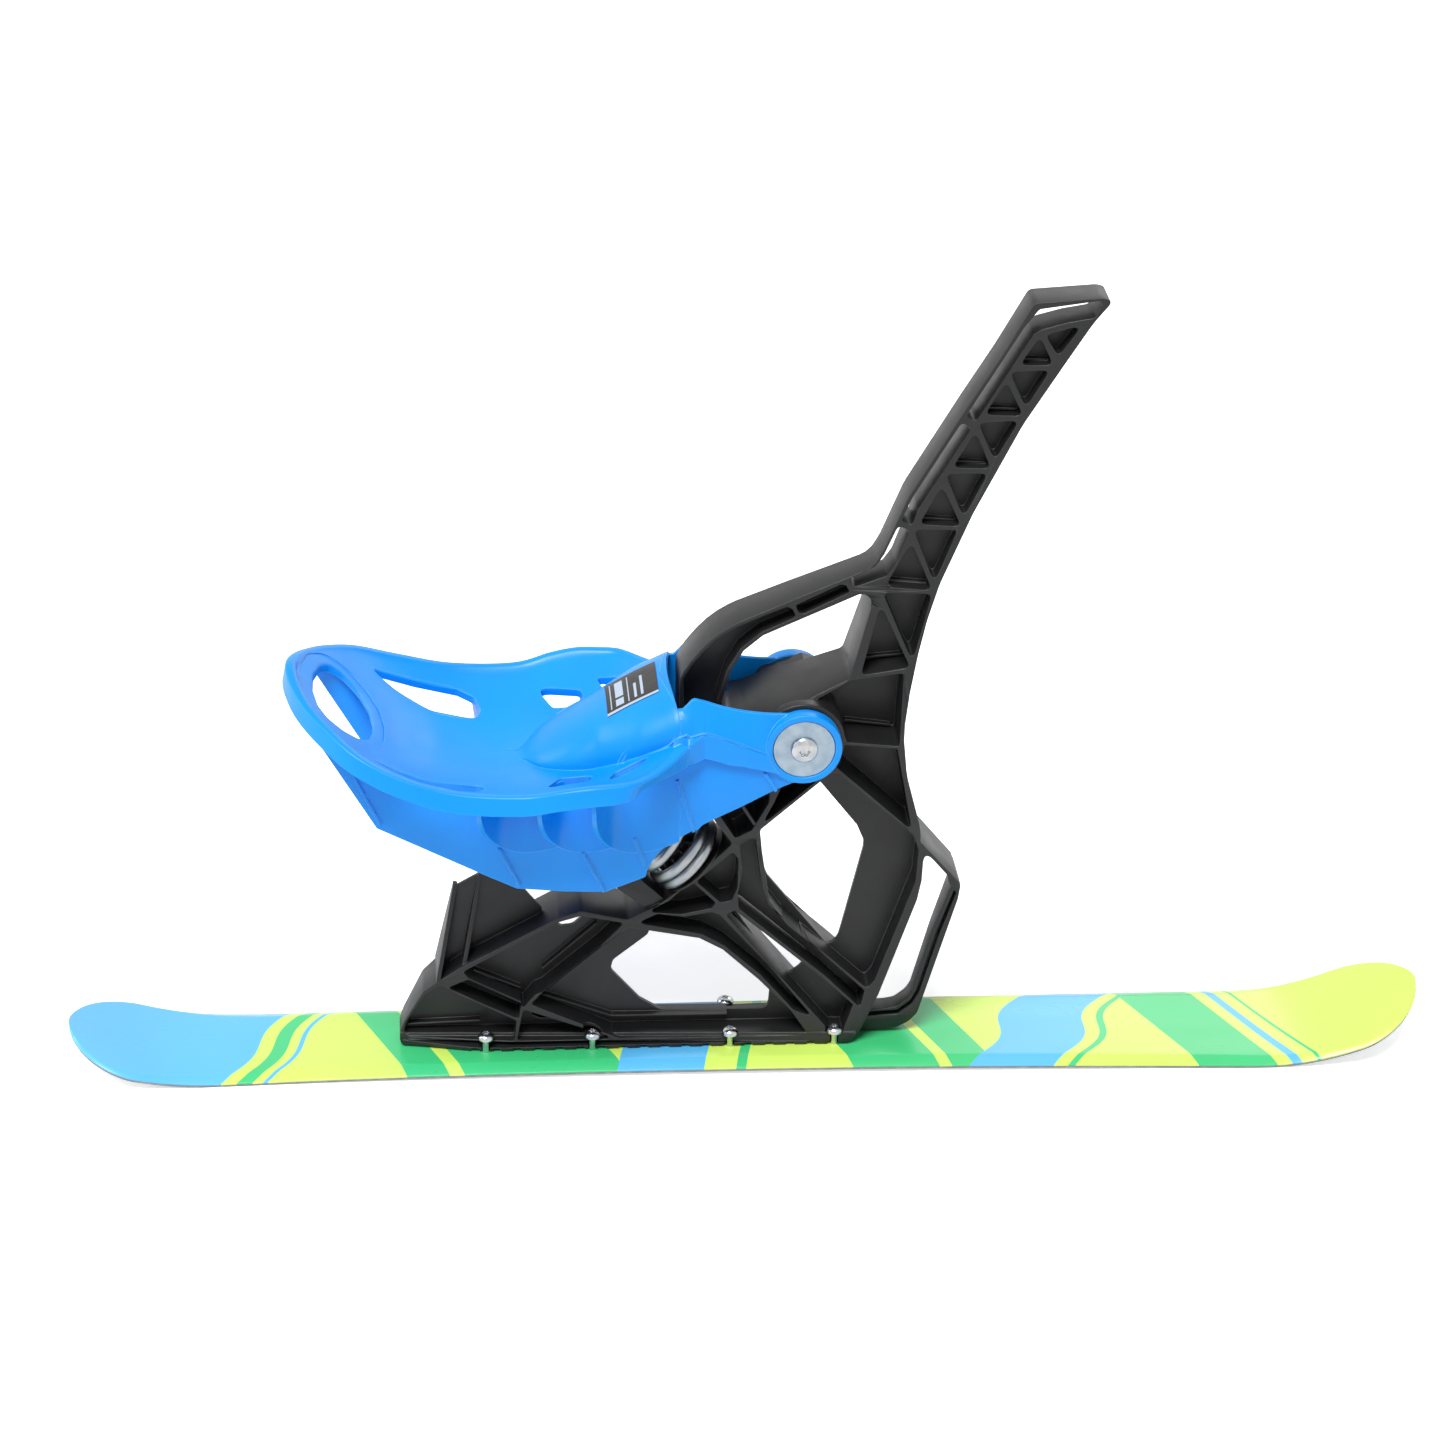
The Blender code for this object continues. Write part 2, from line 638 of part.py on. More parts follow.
def build_frame():
    """The ribbed moulding: foot, rails, struts, column, fender bar, arch and handle."""
    holes = [rounded(loop, 2.0, 1) for loop in GRIP_SLOTS + TRUSS_POCKETS + ARCH_POCKETS]
    holes += [rounded(loop, 2.8, 1) for loop in BODY_POCKETS]
    holes += [rounded(loop, 6.0) for loop in (OPENING_ARCH, OPENING_COLUMN, OPENING_FENDER)]
    ribs = plate("frame", [rounded(FRAME_OUTLINE, 7.0)] + holes, -1.0, 1.0)
    for vertex in ribs.data.vertices:
        side = 1 if vertex.co.y > 0 else -1
        vertex.co.y = side * frame_half_width(vertex.co.x / MM, vertex.co.z / MM) * MM

    web_holes = [offset(rounded(loop, 2.0, 1), 1.0) for loop in GRIP_SLOTS]
    web_holes += [rounded(loop, 6.0) for loop in WEB_OPENINGS]
    web = plate("web", [offset(rounded(FRAME_OUTLINE, 7.0), -1.2)] + web_holes, -WEB_HALF, WEB_HALF)
    combine(ribs, web, "UNION")

    combine(ribs, plate("post_web", [POST_WEB], -POST_WEB_HALF, POST_WEB_HALF), "UNION")
    for start, end in POST_RIBS:
        combine(ribs, strip("post_rib", start, end, *POST_RIB_SIZES), "UNION")

    combine(ribs, plate("rail", [rail_outline()], -RAIL_HALF_WIDTH, RAIL_HALF_WIDTH), "UNION")

    boss = turned("boss", [(0, BOSS_HALF), (BOSS_RADIUS, BOSS_HALF), (BOSS_RADIUS, -BOSS_HALF),
                           (0, -BOSS_HALF)], (0, 1, 0), (PIVOT[0], 0, PIVOT[1]), 32)
    combine(ribs, boss, "UNION")

    bore = AXLE_RADIUS + GAP + BUSH_WALL + GAP
    seat_depth = BUSH_FLANGE_THICKNESS
    end = BOSS_HALF + 15
    cutter = turned("bore", [(0, end), (BUSH_FLANGE + 0.4, end), (BUSH_FLANGE + 0.4, BOSS_HALF - seat_depth),
                             (bore, BOSS_HALF - seat_depth), (bore, -BOSS_HALF + seat_depth),
                             (BUSH_FLANGE + 0.4, -BOSS_HALF + seat_depth), (BUSH_FLANGE + 0.4, -end),
                             (0, -end)], (0, 1, 0), (PIVOT[0], 0, PIVOT[1]), 32)
    combine(ribs, cutter, "DIFFERENCE")
    combine(ribs, plate("slots", screw_slots(), 5.0, RAIL_TOP + 0.5, plane="XY"), "DIFFERENCE")
    room = SCREW_HEAD_RADIUS + HEAD_ROOM
    for x in SCREW_X:
        for y in (-SCREW_Y, SCREW_Y):
            well = turned("well", [(0, HEAD_WELL), (room, HEAD_WELL), (room, 0), (0, 0)],
                          (0, 0, 1), (x, y, RAIL_TOP), 12)
            combine(ribs, well, "DIFFERENCE")
    tap = CAP_SCREW_RADIUS + GAP
    hole = turned("hole", [(0, 5), (tap, 5), (tap, -CAP_SCREW_REACH - 2), (0, -CAP_SCREW_REACH - 2)],
                  spring_axis(), on_spring(0), 12)
    combine(ribs, hole, "DIFFERENCE")
    return finish(ribs, frame_material)


def build_rail_screws():
    """Button head screws, four on each side."""
    for side, tag in ((1, "left"), (-1, "right")):
        for number, x in enumerate(SCREW_X, 1):
            foot = ski_top_height(x) - SHEET_THICKNESS - GAP - SCREW_DEPTH
            seat = RAIL_TOP + GAP
            head = SCREW_HEAD_RADIUS
            top = seat + SCREW_HEAD_HEIGHT
            profile = [(0, top), (head * 0.6, top - 0.9), (head, seat + 1.8), (head, seat),
                       (SCREW_RADIUS, seat), (SCREW_RADIUS, foot), (0, foot)]
            y = side * SCREW_Y
            screw = turned("rail_screw_%s_%d" % (tag, number), profile, (0, 0, 1), (x, y, 0), 10)
            finish(screw, zinc_material, (x, y, RAIL_TOP))


def build_pivot():
    """Axle, bushes, cover washers and bolts."""
    centre = (PIVOT[0], 0, PIVOT[1])
    axle = turned("pivot_axle", [(AXLE_RADIUS, AXLE_HALF), (AXLE_RADIUS, -AXLE_HALF),
                                 (AXLE_BORE, -AXLE_HALF), (AXLE_BORE, AXLE_HALF)], (0, 1, 0), centre, 20)
    finish(axle, zinc_material, centre)
    inner = AXLE_RADIUS + GAP
    outer = inner + BUSH_WALL
    shoulder = BOSS_HALF - GAP
    for side, tag in ((1, "left"), (-1, "right")):
        axis = (0, side, 0)
        bush = turned("pivot_bush_" + tag,
                      [(BUSH_FLANGE, shoulder), (BUSH_FLANGE, shoulder - BUSH_FLANGE_THICKNESS + 2 * GAP),
                       (outer, shoulder - BUSH_FLANGE_THICKNESS + 2 * GAP),
                       (outer, shoulder - BUSH_LENGTH), (inner, shoulder - BUSH_LENGTH),
                       (inner, shoulder)], axis, centre, 20)
        finish(bush, bush_material)
        back = WASHER_FACE - WASHER_THICKNESS
        washer = turned("pivot_washer_" + tag,
                        [(WASHER_RADIUS - 0.5, WASHER_FACE), (WASHER_RADIUS, WASHER_FACE - 0.5),
                         (WASHER_RADIUS, back), (BOLT_RADIUS + 0.4, back),
                         (BOLT_RADIUS + 0.4, WASHER_FACE)], axis, centre, 28)
        finish(washer, washer_material, centre)
        seat = WASHER_FACE + GAP
        top = seat + BOLT_HEAD_HEIGHT
        head = BOLT_HEAD_RADIUS
        bolt = turned("pivot_bolt_" + tag,
                      [(0, top), (head * 0.6, top - 0.8), (head * 0.9, top - 2.4), (head, seat),
                       (BOLT_RADIUS, seat), (BOLT_RADIUS, seat - BOLT_LENGTH), (0, seat - BOLT_LENGTH)],
                      axis, centre, 18)
        finish(bolt, zinc_material, centre)


RIM_PATH = [(-369, 0, 351.5), (-366, 22, 348.5), (-357, 46, 341.5), (-340, 71, 332.5), (-316, 94, 320.5),
            (-282, 106, 306.5), (-240, 111, 295.5), (-190, 114, 293.5), (-160, 120, 299.5), (-138, 124, 302.5),
            (-117, 117, 303.5), (-95, 104, 303.5), (-76, 90, 303.5), (-62, 76, 306.5), (-50, 61, 314.5)]
FLOOR_KEYS = ((-369, 351.5), (-347, 344.5), (-325, 315.5), (-303, 289.5), (-280, 275.5), (-250, 268.5),
              (-215, 266.5), (-186, 270.5), (-160, 273.5), (-136, 275.5), (-97, 288.5), (-74, 297.5), (-50, 306.5))


def rim_at(x):
    """Half width and height of the rim's crest at x."""
    width = between([(p[0], p[1]) for p in RIM_PATH], x)
    crest = between([(p[0], p[2]) for p in RIM_PATH], x)
    return width, crest


def horn_half_width(x):
    """Half width of the horn at its foot."""
    if x < -130:
        return 46 * sqrt(max(0.02, 1 - ((x + 130) / 56.5) ** 2))
    return 46 + 14 * (x + 130) / 55


def seat_height(x, y):
    """Upper face of the seat shell."""
    width, crest = rim_at(x)
    floor = between(FLOOR_KEYS, x)
    share = min(1.0, abs(y) / max(width, 1.0))
    bowl = floor + (crest - floor) * share ** 2.2
    if x <= HORN_REAR:
        return bowl
    ahead = (x - HORN_REAR) / (HORN_MOUTH - HORN_REAR)
    ridge = HORN_NOSE + (HORN_TOP - HORN_NOSE) * min(1.05, ahead) ** 0.72
    half = horn_half_width(x)
    across = abs(y) / half
    if across >= 1:
        return bowl
    power = 2.0 + 1.0 * min(1.0, ahead)
    return bowl + (ridge - floor) * (1 - across ** power) ** 0.5


def seat_shell():
    """Bucket and horn as one open sheet, then thickened."""
    inner = (0.0, 0.35, 0.65, 0.85, 0.96)
    xs = [-367, -361, -351, -339, -326, -313, -300, -284, -262, -235, -208, -191, -182, -170, -155,
          -138, -120, -102, -86, -75, -62]
    rings = []
    for x in xs:
        width, _crest = rim_at(x)
        width -= 1.5
        half = horn_half_width(min(-50, max(x, -150)))
        half = min(half, width * 0.5) if x < -150 else min(half, width * 0.93)
        ys = [half * a for a in inner] + [half + (width - half) * b for b in (0.06, 0.5, 1.0)]
        row = []
        for y in [-v for v in reversed(ys[1:])] + ys:
            front = HORN_MOUTH + 13 * min(1.0, abs(y) / 46) ** 2
            spot = x if x < -112 else -112 + (x + 112) * (front + 112) / 50
            row.append((spot, y, seat_height(min(x, spot), y)))
        rings.append(row)
    sheet = loft("seat", rings, closed=False)
    for polygon in sheet.data.polygons:
        if polygon.normal.z < 0:
            polygon.flip()
    shell = sheet.modifiers.new("Wall", "SOLIDIFY")
    shell.thickness = SHELL_THICKNESS * MM
    shell.offset = -1.0
    shell.use_even_offset = False
    return as_mesh(sheet, "seat")


def rim_loop(steps=4):
    """Points of the whole rim from the right front round the rear to the left front."""
    half = []
    for a, b in zip(RIM_PATH, RIM_PATH[1:]):
        half += [tuple(p + (q - p) * k / steps for p, q in zip(a, b)) for k in range(steps)]
    half.append(RIM_PATH[-1])
    half += [(-25, 58.6, 305.5), (0, 58.4, 295.5), (18, 58.2, 290.5)]
    right = [(x, -y, z) for x, y, z in half]
    return right[:0:-1] + half


def rim_lip():
    """Lip that runs round the seat and forward along the arms."""
    path = rim_loop(1)
    rings = []
    for i, (x, y, z) in enumerate(path):
        before = Vector(path[max(i - 1, 0)])
        after = Vector(path[min(i + 1, len(path) - 1)])
        along = after - before
        out = Vector((along.y, -along.x, 0)).normalized()
        if out.dot(Vector((x + 150, y, 0))) < 0:
            out = -out
        low = LIP_HEIGHT
        spot = Vector((x, y, z))
        ring = [spot + out * 1.2 - Vector((0, 0, low)), spot + out * 1.0 - Vector((0, 0, 2.0)),
                spot - out * 1.0, spot - out * (LIP_THICKNESS - 1.2) - Vector((0, 0, 1.0)),
                spot - out * (LIP_THICKNESS - 1.2) - Vector((0, 0, low))]
        rings.append([tuple(p) for p in ring])
    return loft("lip", rings)


SEAT_SLOTS = [
    [(-306, 76), (-270, 84), (-236, 85), (-222, 78), (-217, 64), (-221, 55), (-258, 59), (-285, 67)],
    [(-173, 84), (-137, 76), (-134, 58), (-160, 58)],
    [(-126, 87), (-100, 76), (-90, 63), (-118, 68)],
]
CARRY_HOLE = [(-347, -20), (-342, -40), (-331, -47), (-318, -45), (-308, -35), (-303, -16)]
FIN_STARTS = (-224, -178, -137)
FIN_LENGTH = 71.0
FIN_TOP = 276.0
FIN_FOOT = 220.0
FIN_REACH = 103.0
FIN_HALF_THICKNESS = 1.4
SKIRT_OVERLAP = 1.5
SKIRT_RIB_WIDTH = 3.2
SKIRT_RIB_HEIGHT = 2.0
SKIRT_RIBS = [((-319, 286), (-296, 236)), ((-206, 217), (-187, 180)), ((-141, 212), (-122, 173)),
              ((-101, 224), (-89, 193)), ((-69, 275), (-51, 224)), ((-1, 280), (12, 258))]
SKIRT_BOTTOM = [(33, 271.5), (8, 262.5), (-52, 228.5), (-57, 226.5), (-78, 212.5), (-90, 198.5), (-91, 188.5),
                (-123, 175.5), (-155, 176.5), (-192, 181.5), (-222, 196.5), (-299, 237.5), (-337, 301.5)]
ARM_TOP = [(-70, 326.5), (-66, 341.5), (-59, 345.5), (2, 332.5), (22, 329.5)]
ARM_BOTTOM = [(28, 272.5), (2, 278.5), (-52, 297.5), (-72, 294.5)]


def seat_fin(start, side):
    """Curved gusset from the skirt out to the rim, with a scooped lower edge."""
    steps = 6
    rings = []
    for k in range(steps + 1):
        t = k / steps
        x = start + FIN_LENGTH * t
        y = FIN_REACH - (FIN_REACH - SKIRT_OUTER + SKIRT_OVERLAP) * t
        drop = FIN_TOP - FIN_FOOT
        low = FIN_FOOT + drop * (1 - sqrt(max(0.0, 1 - (1 - t) ** 2)))
        high = max(seat_height(x, y) - 2.0, low + 6.0)
        away = Vector((0.56, 0.83)) * FIN_HALF_THICKNESS
        rings.append([(x - away.x, side * (y - away.y), low), (x - away.x, side * (y - away.y), high),
                      (x + away.x, side * (y + away.y), high), (x + away.x, side * (y + away.y), low)])
    return loft("fin", rings)


def build_seat():
    """Bucket, rim, horn, skirts, fins, arms and bosses as one moulding."""
    seat = seat_shell()
    combine(seat, rim_lip(), "UNION", crossing=True)
    for side in (-1, 1):
        top = [(x, seat_height(x, SKIRT_INNER + 2) - 2.2)
               for x in (-330, -310, -290, -260, -220, -180, -140, -110, -84)]
        top += [(-60, 308), (-20, 300), (20, 294)]
        skirt_middle = side * (SKIRT_INNER + SKIRT_OUTER) / 2
        skirt_half = (SKIRT_OUTER - SKIRT_INNER) / 2
        skirt = plate("skirt", [SKIRT_BOTTOM + top], skirt_middle - skirt_half, skirt_middle + skirt_half)
        combine(seat, skirt, "UNION")
        middle = side * (ARM_INNER + ARM_OUTER) / 2
        half = (ARM_OUTER - ARM_INNER) / 2
        arm = plate("arm", [ARM_TOP + ARM_BOTTOM], middle - half, middle + half)
        combine(seat, arm, "UNION")
        for start in FIN_STARTS:
            combine(seat, seat_fin(start, side), "UNION")
        for (x0, z0), (x1, z1) in SKIRT_RIBS:
            crest = SKIRT_OUTER + SKIRT_RIB_HEIGHT
            rib = strip("rib", (x0, z0), (x1, z1), SKIRT_RIB_WIDTH, crest, crest)
            for vertex in rib.data.vertices:
                inside = vertex.co.y * side < 0
                vertex.co.y = side * (SKIRT_OUTER - SKIRT_OVERLAP if inside else crest) * MM
            combine(seat, rib, "UNION")
        boss = turned("boss", [(0, ARM_OUTER + 0.3), (ARM_BOSS_RADIUS, ARM_OUTER + 0.3),
                               (ARM_BOSS_RADIUS, ARM_INNER - 0.1), (0, ARM_INNER - 0.1)],
                      (0, side, 0), (PIVOT[0], 0, PIVOT[1]), 32)
        combine(seat, boss, "UNION")
        deep = ARM_INNER - 6.0
        bore = turned("bore", [(0, ARM_OUTER + 12), (WASHER_RADIUS + GAP, ARM_OUTER + 12),
                               (WASHER_RADIUS + GAP, WASHER_FACE - WASHER_THICKNESS - GAP),
                               (AXLE_RADIUS + GAP, WASHER_FACE - WASHER_THICKNESS - GAP),
                               (AXLE_RADIUS + GAP, deep), (0, deep)],
                      (0, side, 0), (PIVOT[0], 0, PIVOT[1]), 32)
        combine(seat, bore, "DIFFERENCE")
    face = SPRING_SPACE + GAP
    back = face + BULKHEAD_THICKNESS
    slope = in_side_view([on_spring(face, BULKHEAD_LOW), on_spring(face, BULKHEAD_HIGH),
                          on_spring(back, BULKHEAD_HIGH), on_spring(back, BULKHEAD_LOW)])
    reach = (SKIRT_INNER + SKIRT_OUTER) / 2
    combine(seat, plate("bulkhead", [slope], -reach, reach), "UNION")
    low = on_spring((face + back) / 2, BULKHEAD_LOW + 1.5)
    wall = [(low[0], low[2]), (low[0] + BULKHEAD_WALL, low[2] + BULKHEAD_WALL),
            (low[0] + BULKHEAD_WALL, BULKHEAD_TOP), (low[0], BULKHEAD_TOP)]
    combine(seat, plate("wall", [wall], -reach + 0.7, reach - 0.7), "UNION")
    tap = CAP_SCREW_RADIUS + GAP
    hole = turned("hole", [(0, back + 2), (tap, back + 2), (tap, face - 2), (0, face - 2)],
                  spring_axis(), on_spring(0), 12)
    combine(seat, hole, "DIFFERENCE")
    openings = [rounded(loop, 4.0) for loop in SEAT_SLOTS]
    openings += [[(x, -y) for x, y in loop] for loop in openings]
    hole = CARRY_HOLE + [(x, -y) for x, y in reversed(CARRY_HOLE)]
    combine(seat, plate("slots", openings + [rounded(hole, 6.0)], 262, 380, plane="XY"), "DIFFERENCE")
    return finish(seat, seat_material, (PIVOT[0], 0, PIVOT[1]))


def build_spring():
    """Coil spring as one unbroken tube."""
    low = CUP_THICKNESS + GAP + WIRE_RADIUS
    high = SPRING_SPACE - CUP_THICKNESS - GAP - WIRE_RADIUS
    count = int(COIL_TURNS * CURL_POINTS)
    points = []
    for k in range(count + 1):
        angle = 2 * pi * k / CURL_POINTS
        points.append(Vector((COIL_RADIUS * cos(angle), COIL_RADIUS * sin(angle),
                              low + (high - low) * k / count)))
    points.insert(0, points[0] + (points[0] - points[1]).normalized() * 2 * WIRE_RADIUS)
    points.append(points[-1] + (points[-1] - points[-2]).normalized() * 2 * WIRE_RADIUS)
    gap = min((points[i] - points[j]).length for i in range(len(points))
              for j in range(i + 6, len(points))) - 2 * WIRE_RADIUS
    print("least gap between curls: %.2f mm" % gap)
    curve = bpy.data.curves.new("spring", "CURVE")
    curve.dimensions = "3D"
    curve.bevel_depth = WIRE_RADIUS * MM
    curve.bevel_resolution = 1
    curve.use_fill_caps = True
    spline = curve.splines.new("POLY")
    spline.points.add(len(points) - 1)
    for slot, spot in zip(spline.points, points):
        slot.co = (*(spot * MM), 1.0)
    spring = link(bpy.data.objects.new("spring", curve), zinc_material)
    spring.rotation_euler.y = -radians(SPRING_LEAN)
    spring.location = Vector(on_spring(0)) * MM
    return spring


def spring_cup(name, height, facing, origin=None):
    """Cup with a spigot for one end of the spring and a recess for its screw."""
    top = CUP_THICKNESS + SPIGOT_HEIGHT
    bore = CAP_SCREW_RADIUS + GAP
    recess = CAP_HEAD_RADIUS + GAP
    depth = 0.0 if facing > 0 else CAP_HEAD_HEIGHT + 2 * GAP
    profile = [(SPIGOT_RADIUS - 1.0, top), (SPIGOT_RADIUS, top - 1.0), (SPIGOT_RADIUS, CUP_THICKNESS),
               (CUP_RADIUS, CUP_THICKNESS), (CUP_RADIUS, 0), (bore, 0)]
    profile += [(bore, top - depth), (recess, top - depth), (recess, top)] if depth else [(bore, top)]
    cup = turned(name, profile, spring_axis() * facing, on_spring(height), 24)
    return finish(cup, cup_material, origin)


def cap_screw(name, seat, length, facing, origin=None):
    """Round head screw on the spring's axis, its head resting at one height."""
    head = CAP_HEAD_RADIUS
    profile = [(0, CAP_HEAD_HEIGHT), (head - 0.8, CAP_HEAD_HEIGHT), (head, CAP_HEAD_HEIGHT - 0.8),
               (head, 0), (CAP_SCREW_RADIUS, 0), (CAP_SCREW_RADIUS, -length), (0, -length)]
    screw = turned(name, profile, spring_axis() * facing, on_spring(seat), 12)
    return finish(screw, zinc_material, origin)


def build_spring_seats():
    """Cups at both ends of the spring, the bump stop inside it and their screws."""
    pivot = (PIVOT[0], 0, PIVOT[1])
    spring_cup("spring_cup_lower", 0, 1)
    spring_cup("spring_cup_upper", SPRING_SPACE, -1, pivot)
    low = CUP_THICKNESS + SPIGOT_HEIGHT + GAP
    top = low + STOP_HEIGHT
    floor = top - STOP_RECESS
    bore = CAP_SCREW_RADIUS + GAP
    recess = CAP_HEAD_RADIUS + GAP
    profile = [(STOP_RADIUS * 0.62, top), (STOP_RADIUS * 0.86, top - STOP_HEIGHT * 0.1),
               (STOP_RADIUS, top - STOP_HEIGHT * 0.3), (STOP_RADIUS, low), (bore, low), (bore, floor),
               (recess, floor), (recess, top)]
    finish(turned("bump_stop", profile, spring_axis(), on_spring(0), 20), stop_material)
    cap_screw("bump_stop_screw", floor + GAP, floor + CAP_SCREW_REACH, 1)
    seat = SPRING_SPACE - CUP_THICKNESS - SPIGOT_HEIGHT + CAP_HEAD_HEIGHT + GAP
    cap_screw("cup_screw", seat, CUP_THICKNESS + SPIGOT_HEIGHT, -1, pivot)


def build_horn_plate():
    """Thin bare plate that follows the near flank of the horn."""
    def on_flank(x, across, height):
        spots = []
        for u, v in ((0, 0), (1, 0), (0, 0.02)):
            y = -horn_half_width(x + u) * (across + v)
            spots.append(Vector((x + u, y, seat_height(x + u, y))))
        normal = (spots[1] - spots[0]).cross(spots[2] - spots[0]).normalized()
        if normal.z < 0:
            normal = -normal
        return spots[0] + normal * height

    rings = []
    for i in range(5):
        x = PLATE_X[0] + (PLATE_X[1] - PLATE_X[0]) * i / 4
        row = [PLATE_ACROSS[0] + (PLATE_ACROSS[1] - PLATE_ACROSS[0]) * k / 5 for k in range(6)]
        rings.append([tuple(on_flank(x, a, 2 * GAP)) for a in row]
                     + [tuple(on_flank(x, a, 2 * GAP + PLATE_THICKNESS)) for a in reversed(row)])
    finish(loft("horn_plate", rings), foil_material, (PIVOT[0], 0, PIVOT[1]))


for old in list(bpy.data.objects):
    bpy.data.objects.remove(old)
parts = bpy.data.collections.new("ski_sled")
bpy.context.scene.collection.children.link(parts)

base_material = new_material("ski base", (0.62, 0.63, 0.64), 0.45)
edge_material = new_material("ski edge steel", (0.35, 0.36, 0.37), 0.3, 1.0)
core_material = new_material("ski core wood", (0.55, 0.38, 0.2), 0.7)
sheet_material = new_material("ski top sheet", (0.62, 0.85, 0.12), 0.25)
zinc_material = new_material("bright zinc", (0.72, 0.74, 0.76), 0.28, 1.0)
washer_material = new_material("zinc washer", (0.62, 0.67, 0.72), 0.42, 0.7)
frame_material = new_material("frame nylon", (0.03, 0.032, 0.034), 0.55)
bush_material = new_material("bush acetal", (0.7, 0.69, 0.64), 0.5)
seat_material = new_material("seat plastic", (0.012, 0.32, 0.9), 0.35)
cup_material = new_material("cup nylon", (0.04, 0.04, 0.045), 0.5)
stop_material = new_material("stop rubber", (0.02, 0.02, 0.02), 0.8)
foil_material = new_material("foil plate", (0.55, 0.56, 0.57), 0.4, 0.5)

build_ski()
build_frame()
build_rail_screws()
build_pivot()
build_seat()
build_spring()
build_spring_seats()
build_horn_plate()
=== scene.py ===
"""Ski sled dressed for rendering: short ski, ribbed frame, sprung moulded seat and their fasteners."""

import logging
from collections.abc import Callable, Sequence
from dataclasses import dataclass, field
from enum import Enum
from math import cos, pi, radians, sin, sqrt, tau

import bmesh
import bpy
from mathutils import Matrix, Vector


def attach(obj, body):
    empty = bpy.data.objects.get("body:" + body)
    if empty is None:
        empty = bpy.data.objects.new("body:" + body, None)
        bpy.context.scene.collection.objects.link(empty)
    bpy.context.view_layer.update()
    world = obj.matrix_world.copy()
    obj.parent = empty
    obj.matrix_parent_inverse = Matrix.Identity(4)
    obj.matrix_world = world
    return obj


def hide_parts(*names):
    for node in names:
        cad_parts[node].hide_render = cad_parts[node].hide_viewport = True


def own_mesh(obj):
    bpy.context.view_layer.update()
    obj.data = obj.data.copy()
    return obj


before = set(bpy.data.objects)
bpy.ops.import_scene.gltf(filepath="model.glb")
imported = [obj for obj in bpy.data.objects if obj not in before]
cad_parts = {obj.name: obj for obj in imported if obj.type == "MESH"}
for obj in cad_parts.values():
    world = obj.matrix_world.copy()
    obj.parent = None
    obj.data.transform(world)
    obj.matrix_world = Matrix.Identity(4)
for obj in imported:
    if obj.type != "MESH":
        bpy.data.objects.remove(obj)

log = logging.getLogger("ski_sled")
logging.basicConfig(level=logging.INFO, format="%(message)s")

Point2 = tuple[float, float]
Point3 = tuple[float, float, float]
Outline = list[Point2]
Colour = tuple[float, float, float]
Shape = bmesh.types.BMesh

MM = 0.001
WELD = 0.004
PIVOT: Point3 = (28.5, 0.0, 300.8)
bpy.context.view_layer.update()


class Body(Enum):
    """Bodies of the sled that move as one."""

    FRAME = "sled_frame"
    SEAT = "swing_seat"


class Side(Enum):
    """Left and right halves, by the sign of Y."""

    LEFT = 1
    RIGHT = -1

    @property
    def tag(self) -> str:
        """Name of the side in lower case."""
        return self.name.lower()


class Plane(Enum):
    """Planes that outlines are drawn in."""

    SIDE = "XZ"
    TOP = "XY"


def srgb(red: int, green: int, blue: int) -> Colour:
    """Turns a display colour into the linear values that shaders read.

    Args:
        red: Red from 0 to 255.
        green: Green from 0 to 255.
        blue: Blue from 0 to 255.

    Returns:
        The linear colour.
    """
    def linear(value: int) -> float:
        """Linear value of one channel."""
        part = value / 255
        return part / 12.92 if part <= 0.04045 else ((part + 0.055) / 1.055) ** 2.4

    return linear(red), linear(green), linear(blue)


def eased(share: float) -> float:
    """Clamps a share to 0 to 1 and softens its start and end."""
    part = min(1.0, max(0.0, share))
    return part * part * (3 - 2 * part)


def blend_keys(keys: Sequence[Point2], x: float) -> float:
    """Reads a smooth curve through key pairs without overshoot.

    Args:
        keys: Pairs of place and value, in rising order.
        x: Place to read.

    Returns:
        The value at x, held level beyond the keys.
    """
    if x <= keys[0][0]:
        return keys[0][1]
    if x >= keys[-1][0]:
        return keys[-1][1]
    at = next(i for i in range(len(keys) - 1) if x <= keys[i + 1][0])
    slopes = [(b[1] - a[1]) / (b[0] - a[0]) for a, b in zip(keys, keys[1:])]

    def tangent(i: int) -> float:
        """Slope of the curve at one key.

        Args:
            i: Number of the key.

        Returns:
            The slope, level at a turn of the curve.
        """
        if i == 0 or i == len(keys) - 1:
            return slopes[min(i, len(slopes) - 1)]
        before, after = slopes[i - 1], slopes[i]
        return 0.0 if before * after <= 0 else 2 * before * after / (before + after)

    (x0, v0), (x1, v1) = keys[at], keys[at + 1]
    span = x1 - x0
    t = (x - x0) / span
    return ((2 * t ** 3 - 3 * t ** 2 + 1) * v0 + (t ** 3 - 2 * t ** 2 + t) * span * tangent(at)
            + (3 * t ** 2 - 2 * t ** 3) * v1 + (t ** 3 - t ** 2) * span * tangent(at + 1))


